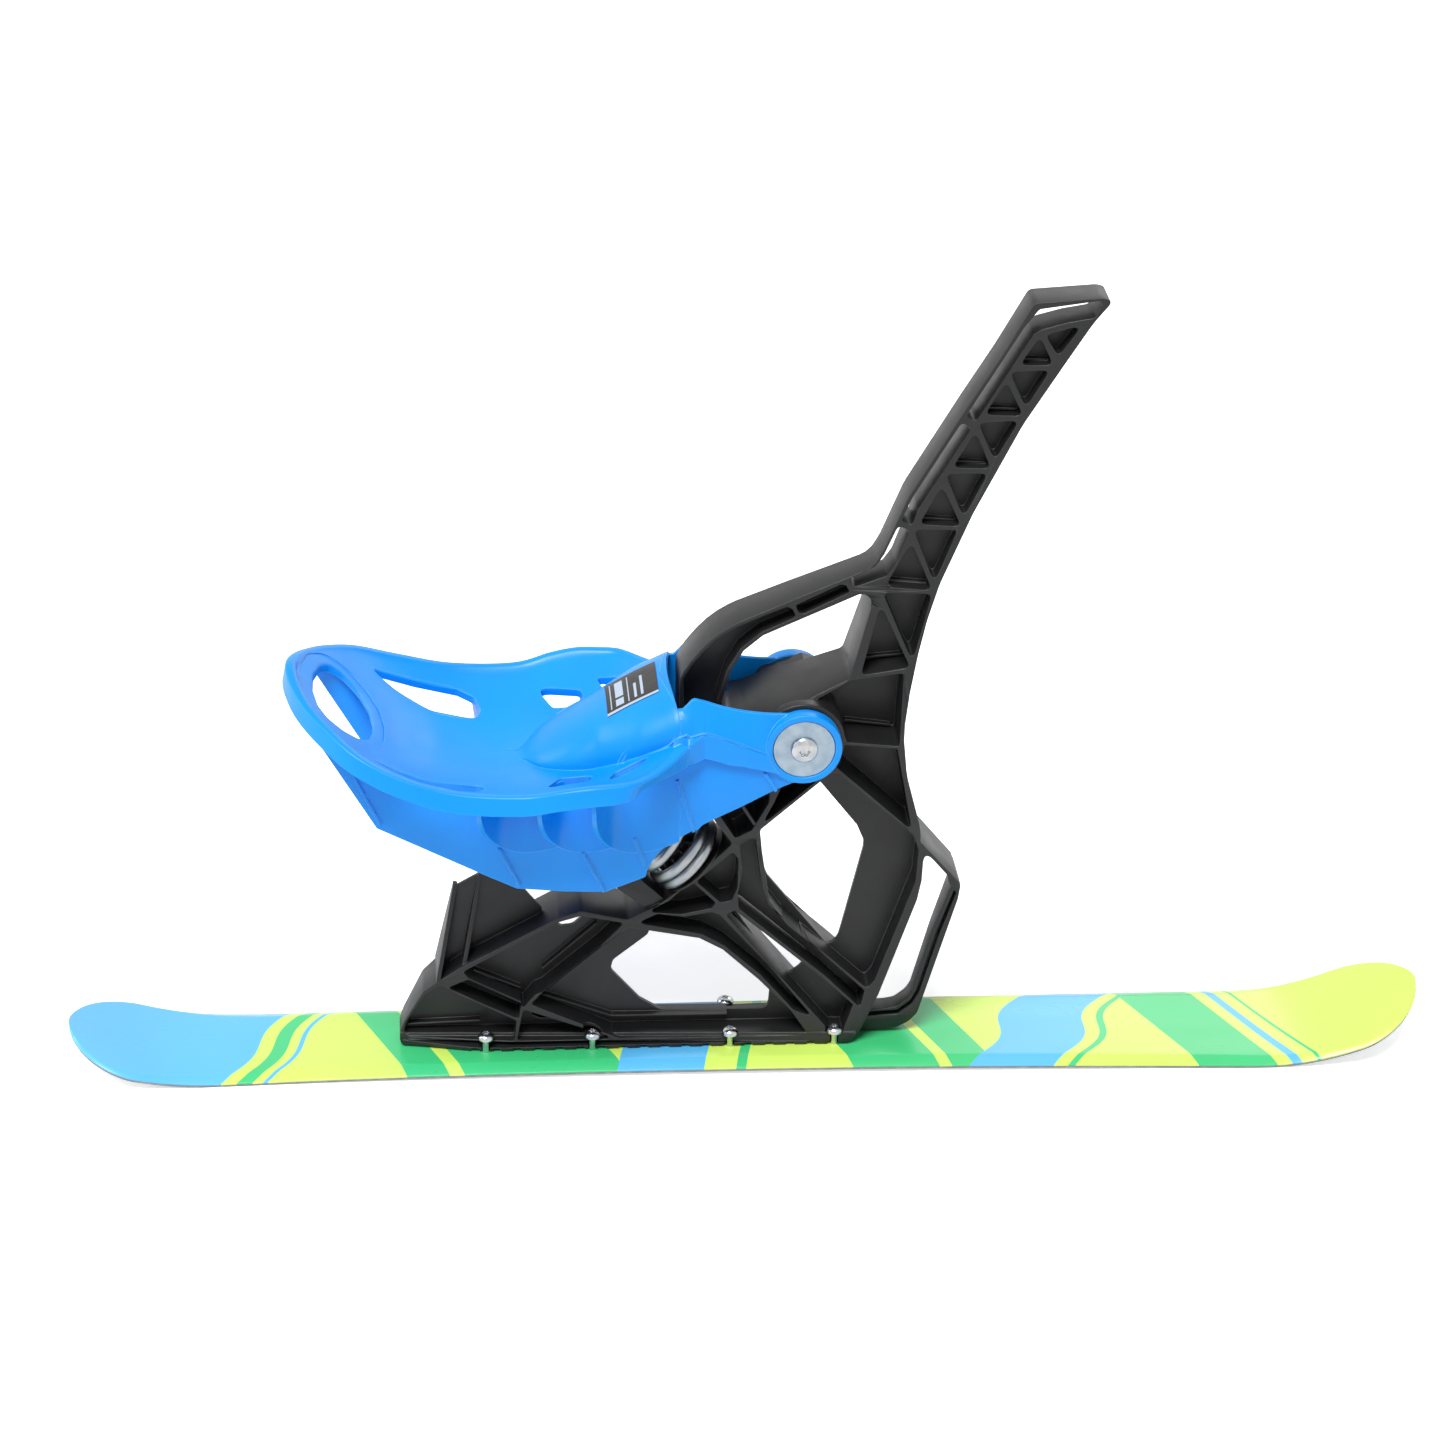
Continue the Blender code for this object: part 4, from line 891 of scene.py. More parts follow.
@dataclass
class Ski:
    """Short ski: printed top sheet with bevelled sides, running base and steel edges."""

    finishes: Finishes
    half_length: float = 549.7
    waist: float = 49.9
    waist_x: float = -230.0
    tip_flare: tuple[float, float] = (6.8, 600.0)
    tail_flare: tuple[float, float] = (4.6, 240.0)
    camber: float = 3.5
    contact: float = 400.0
    end_start: float = 497.0
    end_fullness: float = 1.9
    tip: tuple[float, float] = (411.0, 44.0)
    tail: tuple[float, float] = (428.0, 28.0)
    base: float = 1.2
    edge_width: float = 2.2
    edge_height: float = 1.8
    sheet: float = 1.2
    gap: float = 0.3
    bevels: tuple[Point2, ...] = ((-470, 4), (-390, 10), (390, 10), (470, 4))
    thicknesses: tuple[Point2, ...] = ((-550, 5.5), (-420, 6.8), (-300, 8.0), (100, 8.0), (420, 6.8),
                                       (550, 5.5))
    sections: tuple[int, int] = (46, 28)

    def low(self, x: float) -> float:
        """Height of the underside.

        Args:
            x: Place along the ski.

        Returns:
            The height.
        """
        height = self.camber * max(0.0, 1 - (x / self.contact) ** 2)
        start, rise = self.tip if x > 0 else self.tail
        u = (abs(x) - start) / (self.half_length - start)
        return height + (rise * (0.22 * u * u * (3 - 2 * u) + 0.78 * u ** 2.5) if u > 0 else 0.0)

    def top(self, x: float) -> float:
        """Height of the upper face."""
        return self.low(x) + blend_keys(self.thicknesses, x)

    def half_width(self, x: float, inset: float = 0.0) -> float:
        """Half width of the outline, or of one set in from it.

        Args:
            x: Place along the ski.
            inset: Distance inward.

        Returns:
            The half width.
        """
        away = min(abs(x), self.end_start) * (1 if x > 0 else -1) - self.waist_x
        if away > 0:
            flare, span = self.tip_flare
            side = self.waist + flare * (away / span) ** 2
        else:
            flare, span = self.tail_flare
            side = self.waist + flare * (-away / span) ** 3
        length = self.half_length - inset
        u = min(1.0, max(0.0, (abs(x) - self.end_start) / (length - self.end_start)))
        return (side - inset) * (1 - u ** self.end_fullness) ** (1 / self.end_fullness)

    def stations(self, inset: float) -> list[float]:
        """Places along the ski for its cross sections, close together at the ends.

        Args:
            inset: Distance of the outline inward.

        Returns:
            The places in rising order.
        """
        end = self.half_length - inset
        wide, close = self.sections
        middle = [self.end_start * k / wide for k in range(wide)]
        ends = [self.end_start + (end - self.end_start) * sin(radians(90 * k / close))
                for k in range(close)]
        ends.append(end - 0.02)
        half = middle + ends
        return [-x for x in reversed(half[1:])] + half

    def swept(self, inset: float, section: Callable[[float, float], Outline]) -> Shape:
        """Draws a section along the ski.

        Args:
            inset: Distance of the outline inward.
            section: Gives the points (y, z) from a place and a half width.

        Returns:
            The closed shape.
        """
        rows = []
        for x in self.stations(inset):
            rows.append([(x, y, z) for y, z in section(x, self.half_width(x, inset))])
        return skin(rows)

    def sheet_section(self, x: float, w: float) -> Outline:
        """Cross section of the top sheet.

        Args:
            x: Place along the ski.
            w: Half width of the ski there.

        Returns:
            The points (y, z) of the section.
        """
        low = self.low(x) + self.edge_height + self.gap
        top = self.top(x)
        k = min(1.0, w / 24.0)
        bevel = blend_keys(self.bevels, x) * k
        outer = rounded([(w, low), (w, low + 0.9), (w - 0.4 * k, low + 1.3), (w - bevel, top - 0.25 * k),
                         (w - bevel - 2.5 * k, top), (w * 0.3, top + 0.001)], 2.2 * k + 0.3, 3, closed=False)
        inner = [(w - 1.6 * k, low), (w - 2.4 * k - bevel * 0.7, top - self.sheet - 0.6),
                 (w - 4.6 * k - bevel, top - self.sheet)]
        left = outer + [(-y, z) for y, z in reversed(outer)]
        return left + [(-y, z) for y, z in inner] + list(reversed(inner))

    def build(self) -> None:
        """Builds the sheet, base and edges and dresses the core and its inserts."""
        settle(self.swept(0.0, self.sheet_section), "sheet", self.finishes.sheet, Body.FRAME,
               ["ski_top_sheet"], 20)
        inset = self.edge_width + self.gap

        def base_section(x: float, w: float) -> Outline:
            """Cross section of the running base."""
            low = self.low(x)
            return [(-w, low), (-w, low + self.base), (w, low + self.base), (w, low)]

        settle(self.swept(inset, base_section), "base", self.finishes.base, Body.FRAME, ["ski_base"])
        for side in Side:
            rows = []
            for x in self.stations(inset):
                outer = side.value * self.half_width(x, 0.4)
                inner = side.value * self.half_width(x, self.edge_width)
                low = self.low(x)
                high = low + self.edge_height
                chamfer = side.value * 0.3
                rows.append([(x, inner, low), (x, outer - chamfer, low), (x, outer, low + 0.3),
                             (x, outer, high), (x, inner, high)])
            settle(skin(rows), "edge_" + side.tag, self.finishes.edge, Body.FRAME, ["ski_edge_" + side.tag])
        dress("ski_core", self.finishes.core)
        for side in Side:
            for number in range(1, 5):
                dress("ski_insert_%s_%d" % (side.tag, number), self.finishes.zinc)


def star(radius: float, depth: float) -> Outline:
    """Six-lobed outline of a driver recess.

    Args:
        radius: Radius over the lobes.
        depth: Depth of the waves between them.

    Returns:
        The outline.
    """
    loop = []
    for k in range(48):
        angle = tau * k / 48
        reach = radius - depth * (0.5 - 0.5 * cos(6 * angle))
        loop.append((reach * cos(angle), reach * sin(angle)))
    return loop


@dataclass
class Fasteners:
    """Button head screws of the rail, with the pivot's washers and bolts."""

    finishes: Finishes
    ski: Ski
    screw_x: tuple[float, ...] = (-216.0, -130.0, -18.5, 66.6)
    screw_y: float = 23.5
    shank: float = 2.9
    head: float = 6.7
    head_height: float = 5.5
    depth: float = 3.6
    drive: Point3 = (3.0, 0.75, 2.6)
    rail_top: float = 22.5
    gap: float = 0.3
    washer: float = 24.0
    washer_thickness: float = 2.6
    washer_face: float = 57.0
    bolt: float = 3.9
    bolt_length: float = 24.0
    bolt_head: float = 10.5
    bolt_height: float = 4.6
    bolt_drive: Point3 = (4.3, 1.05, 2.7)
    knife: float = 6.0

    @staticmethod
    def dome(radius: float, seat: float, height: float, rim: float) -> Outline:
        """Profile of a button head from its crown to its seat.

        Args:
            radius: Radius of the head.
            seat: Height of its seat.
            height: Height of the crown over the seat.
            rim: Height of its upright rim.

        Returns:
            The pairs of radius and height.
        """
        crown = [(radius * sin(radians(a)), seat + rim + (height - rim) * cos(radians(a)))
                 for a in (0, 12, 24, 36, 48, 60, 70, 79, 86)]
        return crown + [(radius, seat + rim - 0.25), (radius, seat + 0.2), (radius - 0.2, seat)]

    def rail_screw(self, x: float, y: float) -> Shape:
        """One screw of the rail.

        Args:
            x: Place along the ski.
            y: Place across the ski.

        Returns:
            The screw.
        """
        foot = self.ski.top(x) - self.ski.sheet - self.gap - self.depth
        seat = self.rail_top + self.gap
        profile = self.dome(self.head, seat, self.head_height, 1.3)
        profile += [(self.shank, seat), (self.shank, foot + 0.6), (self.shank - 0.5, foot), (0, foot)]
        screw = turned(profile, (0, 0, 1), (0, 0, 0), 40)
        radius, wave, depth = self.drive
        floor = seat + self.head_height - depth
        screw = cut(screw, plate([star(radius, wave)], floor, floor + self.knife, Plane.TOP))
        bmesh.ops.translate(screw, verts=screw.verts, vec=(x, y, 0))
        return screw

    def cover_washer(self, side: Side) -> Shape:
        """Washer over the end of the axle.

        Args:
            side: Side of the sled.

        Returns:
            The washer.
        """
        back = self.washer_face - self.washer_thickness
        hole = self.bolt + 0.4
        ring = rounded([(self.washer, self.washer_face), (self.washer, back), (hole, back),
                        (hole, self.washer_face)], 0.7, 3)
        return turned(ring, (0, side.value, 0), PIVOT, 96)

    def pivot_bolt(self, side: Side) -> Shape:
        """Button head bolt that holds the washer.

        Args:
            side: Side of the sled.

        Returns:
            The bolt.
        """
        seat = self.washer_face + self.gap
        profile = self.dome(self.bolt_head, seat, self.bolt_height, 0.9)
        end = seat - self.bolt_length
        profile += [(self.bolt, seat), (self.bolt, end + 0.7), (self.bolt - 0.6, end), (0, end)]
        bolt = turned(profile, (0, side.value, 0), PIVOT, 56)
        radius, wave, depth = self.bolt_drive
        lobe = [(PIVOT[0] + u, PIVOT[2] + v) for u, v in star(radius, wave)]
        floor = seat + self.bolt_height - depth
        near, far = sorted((side.value * floor, side.value * (floor + self.knife)))
        return cut(bolt, plate([lobe], near, far))

    def build(self) -> None:
        """Builds the screws, washers and bolts."""
        for side in Side:
            for number, x in enumerate(self.screw_x, 1):
                name = "rail_screw_%s_%d" % (side.tag, number)
                settle(self.rail_screw(x, side.value * self.screw_y), "fine_" + name, self.finishes.zinc,
                       Body.FRAME, [name], 28)
            settle(self.cover_washer(side), "washer_" + side.tag, self.finishes.washer, Body.SEAT,
                   ["pivot_washer_" + side.tag], 28)
            settle(self.pivot_bolt(side), "bolt_" + side.tag, self.finishes.zinc, Body.SEAT,
                   ["pivot_bolt_" + side.tag], 28)


GRIP_ALONG = (0.488, 0.873)
GRIP_ACROSS = (0.873, -0.488)
GRIP_DROP = 5.5


def on_grip(across: float, along: float) -> Point2:
    """Point of the handle from its distance across the grip bar and along it."""
    return (across * GRIP_ACROSS[0] + along * GRIP_ALONG[0],
            across * GRIP_ACROSS[1] + along * GRIP_ALONG[1] - GRIP_DROP)


@dataclass
class SpringPlace:
    """Where the spring stands and which way it leans."""

    foot: Point2 = (-51.0, 174.5)
    lean: float = 46.2
    space: float = 94.0
    cup: float = 32.0
    ledge: float = -3.0
    gap: float = 0.3

    def at(self, height: float, across: float = 0.0) -> Point3:
        """Point of the spring's axis.

        Args:
            height: Height over its foot along the axis.
            across: Distance forward of the axis.

        Returns:
            The point in millimetres.
        """
        lean = radians(self.lean)
        return (self.foot[0] - sin(lean) * height + cos(lean) * across, 0,
                self.foot[1] + cos(lean) * height + sin(lean) * across)

    def flat(self, height: float, across: float = 0.0) -> Point2:
        """Side view of a point of the spring's axis."""
        point = self.at(height, across)
        return point[0], point[2]

    @property
    def axis(self) -> Vector:
        """Direction from the frame up to the seat."""
        lean = radians(self.lean)
        return Vector((-sin(lean), 0, cos(lean)))


SPRING = SpringPlace()

HANDLE_REAR = [(-66, 324), (-66.8, 345.5), (-58.8, 358.6), (-50.7, 369.2), (-39.6, 381), (-24.3, 390.9),
               (-1.3, 400.8), (20.8, 410.4), (78.8, 434.8), (86.6, 446), on_grip(-152.2, 487),
               on_grip(-152.6, 570), (168.4, 607.4), (191.2, 650.8)]
HANDLE_FRONT = [(241, 654.4), (245.6, 653.9), (248.6, 652), (248.2, 648.8), (242, 641), (236.6, 633.8),
                (219, 604.1), (188.7, 552), (155.6, 478), (132.6, 422), (123.6, 393), (117.6, 366),
                (111.4, 332), (108, 303.5), (112.6, 264.5), (126, 216.5), (128, 199.5)]
FENDER_TOP = [(161, 161.2), (162, 155.5), (153.5, 157.5), (151.5, 167), (131.5, 190.5), (131, 162.5),
              (128, 144.5), (101, 56.5), (88, 24), (84, 18.5)]
FOOT_FRONT = [(-278, 16), (-284, 20.5), (-284.5, 25), (-281.6, 33), (-266, 64), (-255, 74.2)]
UPPER_FLANGE = [(-236, 89.5), (-158, 134.5), (-140, 140.5), (-103, 131.5)]
SPRING_SEAT = [SPRING.flat(SPRING.ledge - SPRING.gap, -SPRING.cup),
               SPRING.flat(SPRING.ledge - SPRING.gap, SPRING.cup), (-22, 202)]
BAY_WALL = [(-36, 225.5), (-55, 256.5), (-66, 290.5)]

FRAME_OUTLINE = (HANDLE_REAR + HANDLE_FRONT + FENDER_TOP + FOOT_FRONT + UPPER_FLANGE
                 + SPRING_SEAT + BAY_WALL)

FENDER_BAR = [(154, 167.5), (161.2, 161.4), (164.4, 151.8), (163.6, 137), (136, 28.6), (129.2, 20.8),
              (119.5, 15.4), (99.4, 13.6), (82, 13.6), (82, 32.5), (108, 33.6), (118, 35.4), (127.4, 43.2),
              (131, 50), (144.3, 106.5), (157, 149.5)]
FENDER_GROOVE = [(159.8, 146), (147.6, 106), (133.8, 49.5), (129.8, 41.2), (119.5, 32.3), (92, 30.6),
                 (92, 27), (120, 28.4), (131.4, 38.2), (136.6, 49), (150.6, 105), (161.6, 143)]
FENDER_WIDTHS = ((100, 8.5), (140, 10), (166, 21))

GRIP_SLOTS = [
    [(195.4, 645.6), (240.2, 652.1), (242.6, 650), (241.2, 646.8), (238.2, 639.8), (235.4, 638.4),
     (217.3, 635.2), (198, 629.8), on_grip(-140.3, 645), on_grip(-140.3, 564.5), on_grip(-149.2, 564.5),
     on_grip(-149.2, 645)],
    [on_grip(-140.3, 558.5), on_grip(-140.3, 482), (109, 470.3), (100.3, 474), on_grip(-149, 488),
     on_grip(-149.2, 558.5)],
    [(98.4, 469.8), (107.2, 466.3), (98, 438.2), (91.3, 428), (66, 418.8), (62.6, 426.2), (82.6, 435.8),
     (88.8, 446)],
]

TRUSS_POCKETS = [
    [(201.9, 625.2), (228.2, 632.6), (211.9, 608.7)],
    [(197, 623.5), (208, 601.5), (184, 601.5)],
    [(177, 595.5), (206, 596.5), (190, 567.5)],
    [(174, 587.5), (188, 560.5), (160, 561.5)],
    [(155.5, 554.5), (185, 555.5), (169, 524.5)],
    [(153, 546.5), (166, 517.5), (138, 518.5)],
    [(133, 512.5), (164, 512.5), (148, 477.5)],
    [(130, 502.5), (146, 469.5), (115, 471.5)],
    [(111, 466.5), (144, 465.5), (128, 423.5)],
    [(109, 455.5), (126, 417.5), (92, 420.5)],
    [(89, 415.5), (126, 413.5), (113, 360.5)],
    [(87, 406.5), (111, 355.5), (74, 349.5)],
]

ARCH_POCKETS = [
    [(15.5, 404), (-1.4, 397.3), (-22.9, 387.8), (-37.7, 378.3), (-48.3, 366.8), (-56.1, 356.8),
     (-63.2, 344.4), (-62.3, 325), (-61, 294.5), (-50, 258.5), (-31, 228.5), (-20, 208.5), (-7.5, 217.5),
     (5, 243.5), (5, 284.5), (-30, 306.5), (-37, 324.5), (-29.8, 351.4), (-19.6, 369.6), (-4, 383),
     (19.4, 393.7), (22.5, 396), (19.5, 401.6)],
    [(22, 405), (56, 421.6), (60, 421), (63.7, 415), (28.5, 397.8), (24.5, 398.7)],
]

BODY_POCKETS = [
    [(39, 330.5), (49, 335.5), (66, 344.5), (106, 349.5), (104.5, 292.3), (64.6, 296.4), (57, 319.5)],
    [(59.6, 292.9), (103.2, 288.8), (118.4, 216), (57.7, 273.9)],
    [(0, 223.5), (10, 243.5), (20, 271), (41, 262.5)],
    [(-85, 138.5), (-53, 164.5), (-34, 145.5), (-37, 141.5), (-60, 136.5)],
    [(-48, 165.5), (-21, 191.5), (-17, 184.5), (-17, 159.5), (-21, 148.5), (-29, 146.5)],
    [(-15, 199.5), (-8, 206.5), (-4.4, 206), (0.7, 172.9), (3, 158), (9, 141.5), (52.5, 97), (89, 60.5),
     (86, 46.5), (56, 77.5), (-14, 140.5), (-15, 154.5), (-12, 174.5)],
    [(-18, 137.5), (54, 73.5), (80, 47.5), (72, 20.5), (62.8, 24.2), (12, 87.9), (-24, 134.5)],
    [(-94, 128.5), (-80, 135.5), (-58, 132.5), (-36, 136.5), (-30, 133.5), (9.3, 87.2), (47.6, 37.4),
     (33, 44.5), (5, 78.5), (-25, 106.5), (-43, 117.5)],
    [(-179, 54.5), (-169, 65.2), (-124.5, 105.5), (-102, 123.5), (-46, 112.5), (-27, 101.5), (3, 72.5),
     (30, 42.5), (44, 20.5), (-108, 20.5)],
    [(-185.5, 48.5), (-118, 22), (-118, 20.5), (-190, 20.5)],
    [(-229, 80.5), (-233.2, 85.6), (-159.6, 129), (-140, 135), (-107.3, 128), (-126, 107), (-171, 66.3),
     (-177, 63.8), (-185.9, 52.3), (-187, 57.5)],
    [(-245, 69.5), (-230, 78), (-188.5, 55), (-190, 41.5)],
    [(-277, 20.5), (-281, 24), (-279, 33), (-263.5, 61.5), (-252, 70.5), (-192, 38.5), (-193.5, 20.5)],
]

SPRING_BOX = [(-117, 163), (-90.5, 141.2), (-80, 140), SPRING.flat(-3.3, -35), SPRING.flat(22, -35),
              (-97, 172), (-113, 172)]

OPENING_ARCH = [(-33, 323.5), (-26.4, 349.8), (-17, 367.2), (-2.3, 380), (73.5, 413.8), (81, 408.5),
                (65, 346.5), (24, 328.5), (3, 321.5), (-15, 314.5), (-29, 312.5)]
OPENING_COLUMN = [(45, 261.5), (56, 271), (121, 208.5), (127, 190.5), (126, 162.5), (97.5, 71), (91.5, 62.8),
                  (55, 97.6), (25, 124.8), (9.6, 146.8), (5.5, 172.4), (2.2, 192.8), (-1.1, 217.8)]

WEB_OPENINGS = [
    offset(OPENING_ARCH, 1.0),
    [(36, 258.5), (49.3, 241.6), (79.7, 202.6), (85.8, 188), (85.6, 181.4), (69.1, 100.2), (66.5, 95.5),
     (60.3, 92.2), (9.4, 157.7), (3, 175), (-3, 214)],
    [(-99, 128.5), (-82, 107.5), (-113, 81.5), (-115, 72.5), (-91, 44.5), (-74, 33.5), (14, 32.5), (15, 50.5),
     (5, 70.5), (-24, 104.5), (-45, 115.5)],
    [(-22, 136.5), (-14, 141.5), (48, 84.5), (38, 71.5), (30, 64.5), (10, 86.5)],
    [(-158, 116.5), (-148, 123.5), (-137, 123.5), (-146, 114.5), (-155, 113.5)],
]

POST_WEB = [(-252, 78.5), (-239, 152.5), (-219, 164.5), (-188, 152.5), (-169, 128.5), (-200, 106.5)]
POST_RIBS = (((-254, 74.5), (-239.5, 154.5)), ((-233.5, 86.5), (-219.5, 165.5)))

BODY_WIDTHS = ((0, 24), (184.5, 24), (229.5, 37), (319.5, 37), (346.5, 28), (367.5, 26.5), (394.5, 22.5),
               (422.5, 18), (474.5, 12.8), (494.5, 11.8), (600, 12), (630, 10.4), (653, 8.5))
ARCH_WIDTHS = ((-60, 20.5), (0, 18.5), (85, 15))
RAIL_WIDTHS = ((-286, 12), (-249, 17.5), (-222, 24.5), (-200, 25.5), (85, 25.5))
FOOT_WIDTHS = ((-286, 11), (-266, 17), (-238, 23))
STEP_RIBS = [((186, 602.6), (206, 601.7)), ((163, 563.1), (184, 562.1)), ((139.5, 519.7), (163.5, 517.9)),
             ((118, 472.5), (142, 470.5)), ((94.5, 420.3), (123.5, 417.4)), ((75, 353.4), (107, 356.4)),
             ((65.5, 299.1), (101.5, 294.1))]
FOOT_LINES = [((-225.5, 77.7), (-188, 60)), ((-241, 65.4), (-202.1, 44.9)), ((-168.5, 53), (-113.8, 31.7)),
              ((-113.8, 31.7), (-20, 31.2)), ((-278, 27.9), (-220.3, 29.8)), ((-178, 33.8), (-171.8, 30.7)),
              ((-171.8, 30.7), (-140.8, 31.2)), ((-170, 78), (-127, 119))]
BAY_RIBS = [((-35.2, 227.8), (-20.2, 203.1)), ((-15.6, 239.7), (-5.5, 222.8))]

RIM_PATH = [(-369, 0, 351.5), (-366, 22, 348.5), (-357, 46, 341.5), (-340, 71, 332.5), (-316, 94, 320.5),
            (-282, 106, 306.5), (-240, 111, 295.5), (-190, 114, 293.5), (-160, 118.5, 300),
            (-139, 120, 303.4), (-121, 118.5, 304), (-107, 115.5, 304.6), (-97, 109, 304.5),
            (-85, 97, 304.8), (-73, 83, 306.8), (-62, 70, 311.2), (-50, 61.5, 316)]
FLOOR_KEYS = ((-369, 351.5), (-347, 336.5), (-325, 316), (-303, 297), (-280, 281), (-250, 269.5),
              (-215, 266.5), (-186, 270.5), (-160, 273.5), (-136, 275.5), (-118, 283), (-104, 291.5),
              (-91, 299), (-80, 305.5), (-70.5, 311.5), (-62, 315), (-50, 317))
ARM_PATH = [(-45, 61, 315.8), (-32, 60.2, 310.8), (0, 58.9, 296.3), (18, 58.5, 290.5), (27, 58.2, 288.0)]
HORN_SIDES = ((-130, 46), (-112, 55), (-96, 60.3), (-75, 61), (-50, 60.6))
RIM_DROPS = ((-369, 14.5), (-125, 13.2), (-107, 12.5), (-97, 9.8), (-85, 10.8), (-73, 13.5), (-61, 17.5),
             (-50, 20.8), (-32, 20.3), (-18.6, 17.3), (0, 13.6), (27, 11.8))
RIM_FLARES = ((-369, 2.4), (-300, 3.4), (-240, 4.3), (-125, 4.3), (-112, 2.5), (-103, -0.8), (-97, -3.2),
              (-85, -3.2), (-73, -2.0), (-61, -0.4), (-50, 0.3), (27, 0.3))
RIM_ROLL = ((-7.7, -1.4), (-7.0, -0.7), (-6.0, -0.25), (-4.3, -0.05), (-2.3, 0.0), (-1.1, -0.25),
            (-0.3, -0.9), (0.0, -1.8))
SLOT_WALL = [(1.8, -0.4), (0.3, -0.25), (-0.1, -0.7), (-0.1, -6.3), (0.3, -6.7), (1.8, -6.7)]
HOLE_STEP = [(10.8, -1.3), (6.0, -1.2), (1.6, -1.1), (0.5, -1.4), (0.0, -2.4), (0.0, -7.4), (0.4, -8.0),
             (1.8, -8.0), (2.2, -4.6), (10.8, -4.6)]
COLLAR = [(-4.6, -5.4), (1.4, -5.4), (1.4, 0.6), (-4.6, 0.45)]
FOOT_LINE = [(-90, 61.4, 303), (-81, 61.2, 306.2), (-70.5, 60.8, 310.2), (-58, 60.4, 315),
             (-50, 60.2, 317.1), (-46, 60.1, 316.8), (-32, 59.5, 311.9), (-16, 58.7, 304.6),
             (0.5, 58.1, 297.2)]
SEAT_SLOTS = [
    [(-306, 76), (-270, 84), (-236, 85), (-222, 78), (-217, 64), (-221, 55), (-258, 59), (-285, 67)],
    [(-173, 84), (-137, 76), (-134, 58), (-160, 58)],
    [(-126, 87), (-100, 76), (-90, 63), (-118, 68)],
]
CARRY_HOLE = [(-348, -12), (-343.5, -34), (-336, -45), (-325, -46.5), (-314, -40), (-306, -27), (-303, -10)]
FIN_STARTS = (-224, -178, -137)
SKIRT_RIBS = [((-319, 286), (-297.5, 239.5)), ((-206, 217), (-190, 183)), ((-141, 212), (-124, 176.5)),
              ((-101, 224), (-92.5, 199)), ((-69, 275), (-55, 229)), ((-1, 280), (8, 264))]
SKIRT_BOTTOM = [(33, 272.5), (20, 270), (8, 264.6), (-17.5, 250.3), (-42, 237.7), (-48.8, 233.7),
                (-51.3, 230.1), (-56.4, 228.8), (-65.7, 223.3), (-78, 214), (-84.1, 206.9), (-90.1, 196.2),
                (-91.6, 188.5), (-123, 175.5), (-155, 176.5), (-192.5, 180), (-222, 194.8), (-300.5, 235.8),
                (-350, 322)]
SKIRT_TOP_X = (-345, -335, -320, -300, -280, -250, -220, -195, -170, -145, -130, -120, -112, -105, -98,
               -91, -84)
SKIRT_UNDER_ARM = [(-60, 306), (-20, 298), (20, 292)]
ARM_TOP = ((-78, 331), (-66, 338.5), (-58, 342), (-50, 340.3), (-34, 334.8), (-15, 330.5), (2.5, 328.5),
           (16, 328))
LABEL_AREA = ((-121.5, -82.5), (-25.5, 25.5))


